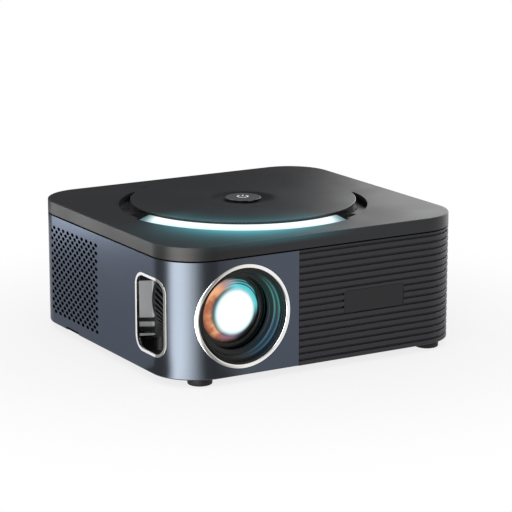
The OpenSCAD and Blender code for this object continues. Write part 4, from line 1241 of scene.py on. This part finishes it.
class DiscLid(Operator):
    """Builds the round lid with its soft dish, its lining, the button and the disc clamp."""
    bl_idname = "projector.disc_lid"
    bl_label = "Disc lid"

    def execute(self, context):
        sizes = context.scene.projector_lid
        lid = lathe(
            mm_points(
                (0, 94.4), (25.5, 94.4), (25.5, 96.3), (79.3, 96.3), (79.8, 96.9), (79.8, 98.4),
                (sizes.dish_radius / MM, 98.4), (13.9, 96.9), (12.1, 96.9), (12.1, 95.4), (0, 95.4)),
            LID_CENTRE, 160, segments=5,
            rounds=[(5, 0.5 * MM), (6, 3.5 * MM), (7, 1 * MM), (8, 0.25 * MM)])
        piece("lid_skin", lid, "lid_plastic", body="lid", replaces=["disc_lid"], smooth=50)
        softened("lid_lining", "lid_liner", "well_plastic", 0.25, "lid")

        radius = sizes.button_radius / MM
        button = lathe(
            mm_points(
                (0, 96.5), (radius, 96.5), (radius, 97.3), (radius - 1.4, 97.6), (radius - 1.4, 98.1),
                (radius + 0.9, 98.2), (radius + 0.9, 98.9), (radius - 1.2, 98.9), (radius - 1.6, 98.8),
                (0, 98.8)),
            LID_CENTRE, 96, rounds=[(5, 0.15 * MM), (6, 0.4 * MM), (7, 0.2 * MM), (8, 0.2 * MM)])
        tab = soften(box(mm(-4, -13.9, 98.0), mm(0.2, -11.2, 98.7)), 0.2 * MM)
        bmesh.ops.translate(tab, verts=tab.verts, vec=LID_CENTRE)
        piece("button_cap", join(button, tab), "button_plastic", body="button", replaces=["power_button"])
        self.power_symbol(98.8 * MM)

        clamp = lathe(
            mm_points(
                (0, 90.2), (8.95, 90.2), (8.95, 87.6), (12, 87.6), (12, 91.1), (15, 91.1), (15, 92.5),
                (0, 92.5)),
            LID_CENTRE, 96, rounds=[(2, 0.4 * MM), (3, 0.6 * MM), (5, 0.3 * MM), (6, 0.3 * MM)])
        piece("clamp_turned", clamp, "fan_plastic", body="clamp", replaces=["disc_clamp"])
        return {"FINISHED"}

    def power_symbol(self, top):
        """The printed power symbol on the button."""
        centre = LID_CENTRE + mm(0.6, 1.6, 0)
        base = top - 0.05 * MM
        face = top + 0.04 * MM
        inner, outer = 3.1 * MM, 4.3 * MM
        half_bar = 0.55 * MM
        half_gap = math.radians(36)
        middle = math.radians(60)
        ring = lathe(
            [(inner, base), (outer, base), (outer, face), (inner, face)], centre, 40, closed=True,
            angles=(middle + half_gap, middle + FULL_TURN - half_gap))
        bar = box(Vector((0.6 * MM, -half_bar, base)), Vector((4.8 * MM, half_bar, face)))
        turn = Matrix.Translation(centre) @ Matrix.Rotation(middle, 4, "Z")
        bmesh.ops.transform(bar, matrix=turn, verts=bar.verts)
        piece("button_print", join(ring, bar), "white_print", body="button")


class DiscDrive(Operator):
    """Builds the disc well, the turntable and the pickup sled under the lid."""
    bl_idname = "projector.disc_drive"
    bl_label = "Disc drive"

    def execute(self, context):
        softened("well_tub", "disc_well", "well_plastic", 0.3)
        turntable = lathe(
            mm_points(
                (0, 81.7), (14, 81.7), (14, 86), (9.5, 86), (9.2, 85.8), (8.4, 85.8), (8.1, 86), (7.45, 86),
                (7.45, 87.6), (4.95, 88.6), (1.6, 88.6), (1.2, 88.2), (0, 88.2)),
            LID_CENTRE, 96, rounds=[(2, 0.4 * MM), (8, 0.5 * MM), (9, 0.5 * MM)])
        piece("hub_turned", turntable, "fan_plastic", body="turntable", replaces=["turntable"])
        softened("sled_body", "pickup_sled", "inner_plastic", 0.3, "pickup")
        return {"FINISHED"}


# The CAD nodes that keep their own shape, by their finish.
CAD_FINISHES = {
    "seam_plastic": ["seam_frame"],
    "inner_plastic": ["front_speaker_box", "side_speaker_box"],
    "fan_plastic": ["fan_frame", "fan_rotor"],
    "rubber_black": ["lid_bumpers", "dampers"],
    "cone_paper": ["front_speaker", "side_speaker"],
    "board_green": ["button_board", "main_board", "power_board", "light_board"],
    "coated_glass": ["rear_lens", "field_lens", "fresnel_lens", "condenser_lens"],
    "panel_glass": ["lcd_panel"],
    "pickup_glass": ["pickup_lens"],
    "engine_alloy": ["lens_mount"],
    "sink_alloy": ["heat_sink", "led_module"],
    "copper_pipe": ["heat_pipes"],
    "insert_brass": ["tripod_insert"],
    "plated_steel": [
        "case_screws", "hinge_pins", "well_magnet", "guide_rods", "lead_screw", "spindle_motor",
        "sled_motor", "mechanism_chassis"],
}


class PlainParts(Operator):
    """Gives the CAD parts that keep their own shape their finishes."""
    bl_idname = "projector.plain_parts"
    bl_label = "Plain parts"

    def execute(self, context):
        for finish, nodes in CAD_FINISHES.items():
            for node in nodes:
                for slot in NODES[node].material_slots:
                    slot.material = bpy.data.materials[finish]
        return {"FINISHED"}


# ---- Stage ----


# Each lamp: name, place, aim, width, height, radiance, and the rays that it stays hidden from.
LAMPS = (
    ("lamp_above", (-0.2, -0.3, 1.5), (0, 0, 0.05), 1.4, 1.4, 0.75, "visible_glossy"),
    ("lamp_front", (-1.1, -1.2, 0.55), (-0.08, -0.05, 0.04), 0.6, 0.6, 3.5, "visible_glossy"),
    ("lamp_behind", (0.64, 0.42, 0.3), (0.1, 0, 0.1), 0.5, 0.4, 0.8, "visible_diffuse"),
)

# Each card: name, place, azimuth of its normal in degrees, width, height and radiance.
CARDS = (
    ("flag_behind", (-0.14, 0.36, 0.52), 90, 0.9, 1.0, 0.09),
    ("card_left", (-0.42, 0.45, 0.4), 120, 0.6, 0.42, 9.0),
    ("card_right", (0.5, 0.12, 0.2), 20, 0.5, 0.4, 3.0),
    ("card_low", (-0.29, 0.33, 0.03), 120, 0.12, 0.05, 6.5),
)


def studio_lamp(name, place, aim, width, height, radiance, hidden_from):
    """Adds a soft rectangular lamp of a given radiance, aimed at a point."""
    data = bpy.data.lights.new(name, "AREA")
    data.shape = "RECTANGLE"
    data.size = width
    data.size_y = height
    data.energy = radiance * math.pi * width * height
    lamp = bpy.data.objects.new(name, data)
    lamp.location = place
    lamp.rotation_euler = (Vector(aim) - Vector(place)).to_track_quat("-Z", "Y").to_euler()
    lamp.visible_camera = False
    setattr(lamp, hidden_from, False)
    bpy.context.scene.collection.objects.link(lamp)


def shine_material(nodes, radiance, tint=WHITE):
    """Makes a material that only shines, for a card that reflections see."""
    shine = nodes.node("ShaderNodeEmission", None, tint, radiance)
    nodes.node("ShaderNodeOutputMaterial", None, shine)
    return nodes.owner


def grid(width, height):
    """A flat rectangle of one face, centred on the origin."""
    bm = bmesh.new()
    size = Matrix.Diagonal((width, height, 1, 1))
    bmesh.ops.create_grid(bm, x_segments=1, y_segments=1, size=0.5, matrix=size)
    return bm


def stage_piece(name, bm, material):
    """Adds a shape to the stage."""
    made = new_object(name, bm)
    made.data.materials.append(material)
    return made


def reflection_card(name, bm, material):
    """Adds a card to the stage that only reflections see."""
    made = stage_piece(name, bm, material)
    for ray in ("visible_camera", "visible_diffuse", "visible_transmission", "visible_shadow"):
        setattr(made, ray, False)


class Stage(Operator):
    """Builds the pale floor, the white surroundings, the soft lamps and the camera."""
    bl_idname = "projector.stage"
    bl_label = "Stage"

    def execute(self, context):
        scene = context.scene
        scene.view_settings.view_transform = "Standard"
        self.surroundings(scene)
        self.floor()
        for lamp in LAMPS:
            studio_lamp(*lamp)
        upright = Matrix.Rotation(QUARTER, 4, "X")
        for name, place, azimuth, width, height, radiance in CARDS:
            turn = Matrix.Rotation(math.radians(azimuth) - QUARTER, 4, "Z") @ upright
            card = grid(width, height)
            bmesh.ops.transform(card, matrix=Matrix.Translation(place) @ turn, verts=card.verts)
            reflection_card(name, card, shine_material(Nodes(bpy.data.materials.new(name)), radiance))
        self.corner_screen()
        self.camera(scene)
        return {"FINISHED"}

    def surroundings(self, scene):
        """White for the eye and for reflections, and a softer white as light."""
        nodes = Nodes(bpy.data.worlds.new("studio"))
        strength = nodes.span(self.seen_rays(nodes), 0, 1, 0.55, 1.0)
        background = nodes.node("ShaderNodeBackground", None, WHITE, strength)
        nodes.node("ShaderNodeOutputWorld", None, background)
        scene.world = nodes.owner

    def seen_rays(self, nodes):
        """One or more for the eye, for reflections and for what is seen through glass."""
        path = nodes.node("ShaderNodeLightPath")
        rays = {value.socket.name: value for value in nodes.outputs_of(path)}
        return rays["Is Camera Ray"] + rays["Is Glossy Ray"] + rays["Is Transmission Ray"]

    def floor(self):
        """A pale floor that shows white and keeps a faint shadow."""
        nodes = Nodes(bpy.data.materials.new("floor_white"))
        tone = nodes.mix(nodes.noise(30, 3), linear(247, 248, 248), linear(252, 252, 252))
        matt = nodes.node("ShaderNodeBsdfDiffuse", None, tone)
        white = nodes.node("ShaderNodeEmission", None, WHITE, 1.0)
        across, back, _ = nodes.axes()
        distance = nodes.polar(across, back)[0]
        share = nodes.span(distance, 0.15, 0.34, 0.8, 1.0) * nodes.span(self.seen_rays(nodes), 0, 1)
        shown = nodes.node("ShaderNodeMixShader", None, share, matt, white)
        nodes.node("ShaderNodeOutputMaterial", None, shown)
        stage_piece("floor", grid(12, 12), nodes.owner)

    def corner_screen(self):
        """A curved screen round the lens corner: lit in its middle, and dark beside that."""
        centre = corner_centre(-1, -1, bpy.context.scene.projector_case.corner_radius)
        first, last = math.radians(148), math.radians(305)
        reach = 107 * MM
        screen = bmesh.new()
        edges = outline(screen, [mm(36, 0, 1), (reach, 0, 1 * MM), (reach, 0, 200 * MM)], closed=False)
        bmesh.ops.rotate(screen, verts=screen.verts, cent=(0, 0, 0), matrix=Matrix.Rotation(first, 3, "Z"))
        bmesh.ops.translate(screen, verts=screen.verts, vec=centre)
        sweep(screen, edges, [(centre, last - first, 60)])
        nodes = Nodes(bpy.data.materials.new("corner_screen"))
        across, back, _ = nodes.axes(centre)
        radius, turns = nodes.polar(across, back)
        degrees = turns * 360
        slant = (reach - radius) * 220
        rise = nodes.span(degrees - slant, 178, 198)
        middle = rise * nodes.fade(degrees, 208, 262) * 7.0
        radiance = middle + nodes.span(degrees, 284, 304, 0.3, 1.0)
        reflection_card("corner_screen", screen, shine_material(nodes, radiance, (1.04, 1.0, 0.92, 1)))

    def camera(self, scene):
        """Adds the camera, at a view that was fitted to the body's corners."""
        data = bpy.data.cameras.new("camera")
        data.sensor_width = 36
        data.lens = 154.3
        camera = bpy.data.objects.new("camera", data)
        right = Vector((0.8607, -0.5090, 0.0))
        up = Vector((0.1173, 0.1983, 0.9731))
        back = Vector((-0.4954, -0.8376, 0.2304))
        turn = Matrix((right, up, back)).transposed().to_4x4()
        camera.matrix_world = Matrix.Translation((-0.7666, -1.3109, 0.4159)) @ turn
        scene.collection.objects.link(camera)
        scene.camera = camera


# ---- Panel and run ----


OPERATORS = [
    MakeFinishes, SideShell, RibbedGrille, TopCap, RearPanel, Underside, LensRing, LensBarrel, FocusWindow,
    FocusRing, EngineHousing, LightStrip, DiscLid, DiscDrive, PlainParts, Stage,
]


class ProjectorPanel(Panel):
    """Lists the pieces of the projector."""
    bl_idname = "VIEW3D_PT_projector"
    bl_label = "Projector"
    bl_space_type = "VIEW_3D"
    bl_region_type = "UI"
    bl_category = "Projector"

    def draw(self, context):
        for operator in OPERATORS:
            self.layout.operator(operator.bl_idname)


GROUPS = {
    "projector_case": CaseSizes,
    "projector_lens": LensSizes,
    "projector_lid": LidSizes,
    "projector_finishes": Finishes,
}


def register():
    for group in GROUPS.values():
        bpy.utils.register_class(group)
    for name, group in GROUPS.items():
        setattr(bpy.types.Scene, name, PointerProperty(type=group))
    for operator in OPERATORS:
        bpy.utils.register_class(operator)
    bpy.utils.register_class(ProjectorPanel)


def unregister():
    bpy.utils.unregister_class(ProjectorPanel)
    for operator in reversed(OPERATORS):
        bpy.utils.unregister_class(operator)
    for name in GROUPS:
        delattr(bpy.types.Scene, name)
    for group in GROUPS.values():
        bpy.utils.unregister_class(group)


def main():
    register()
    for operator in OPERATORS:
        group, name = operator.bl_idname.split(".")
        getattr(getattr(bpy.ops, group), name)()


if __name__ == "__main__":
    main()
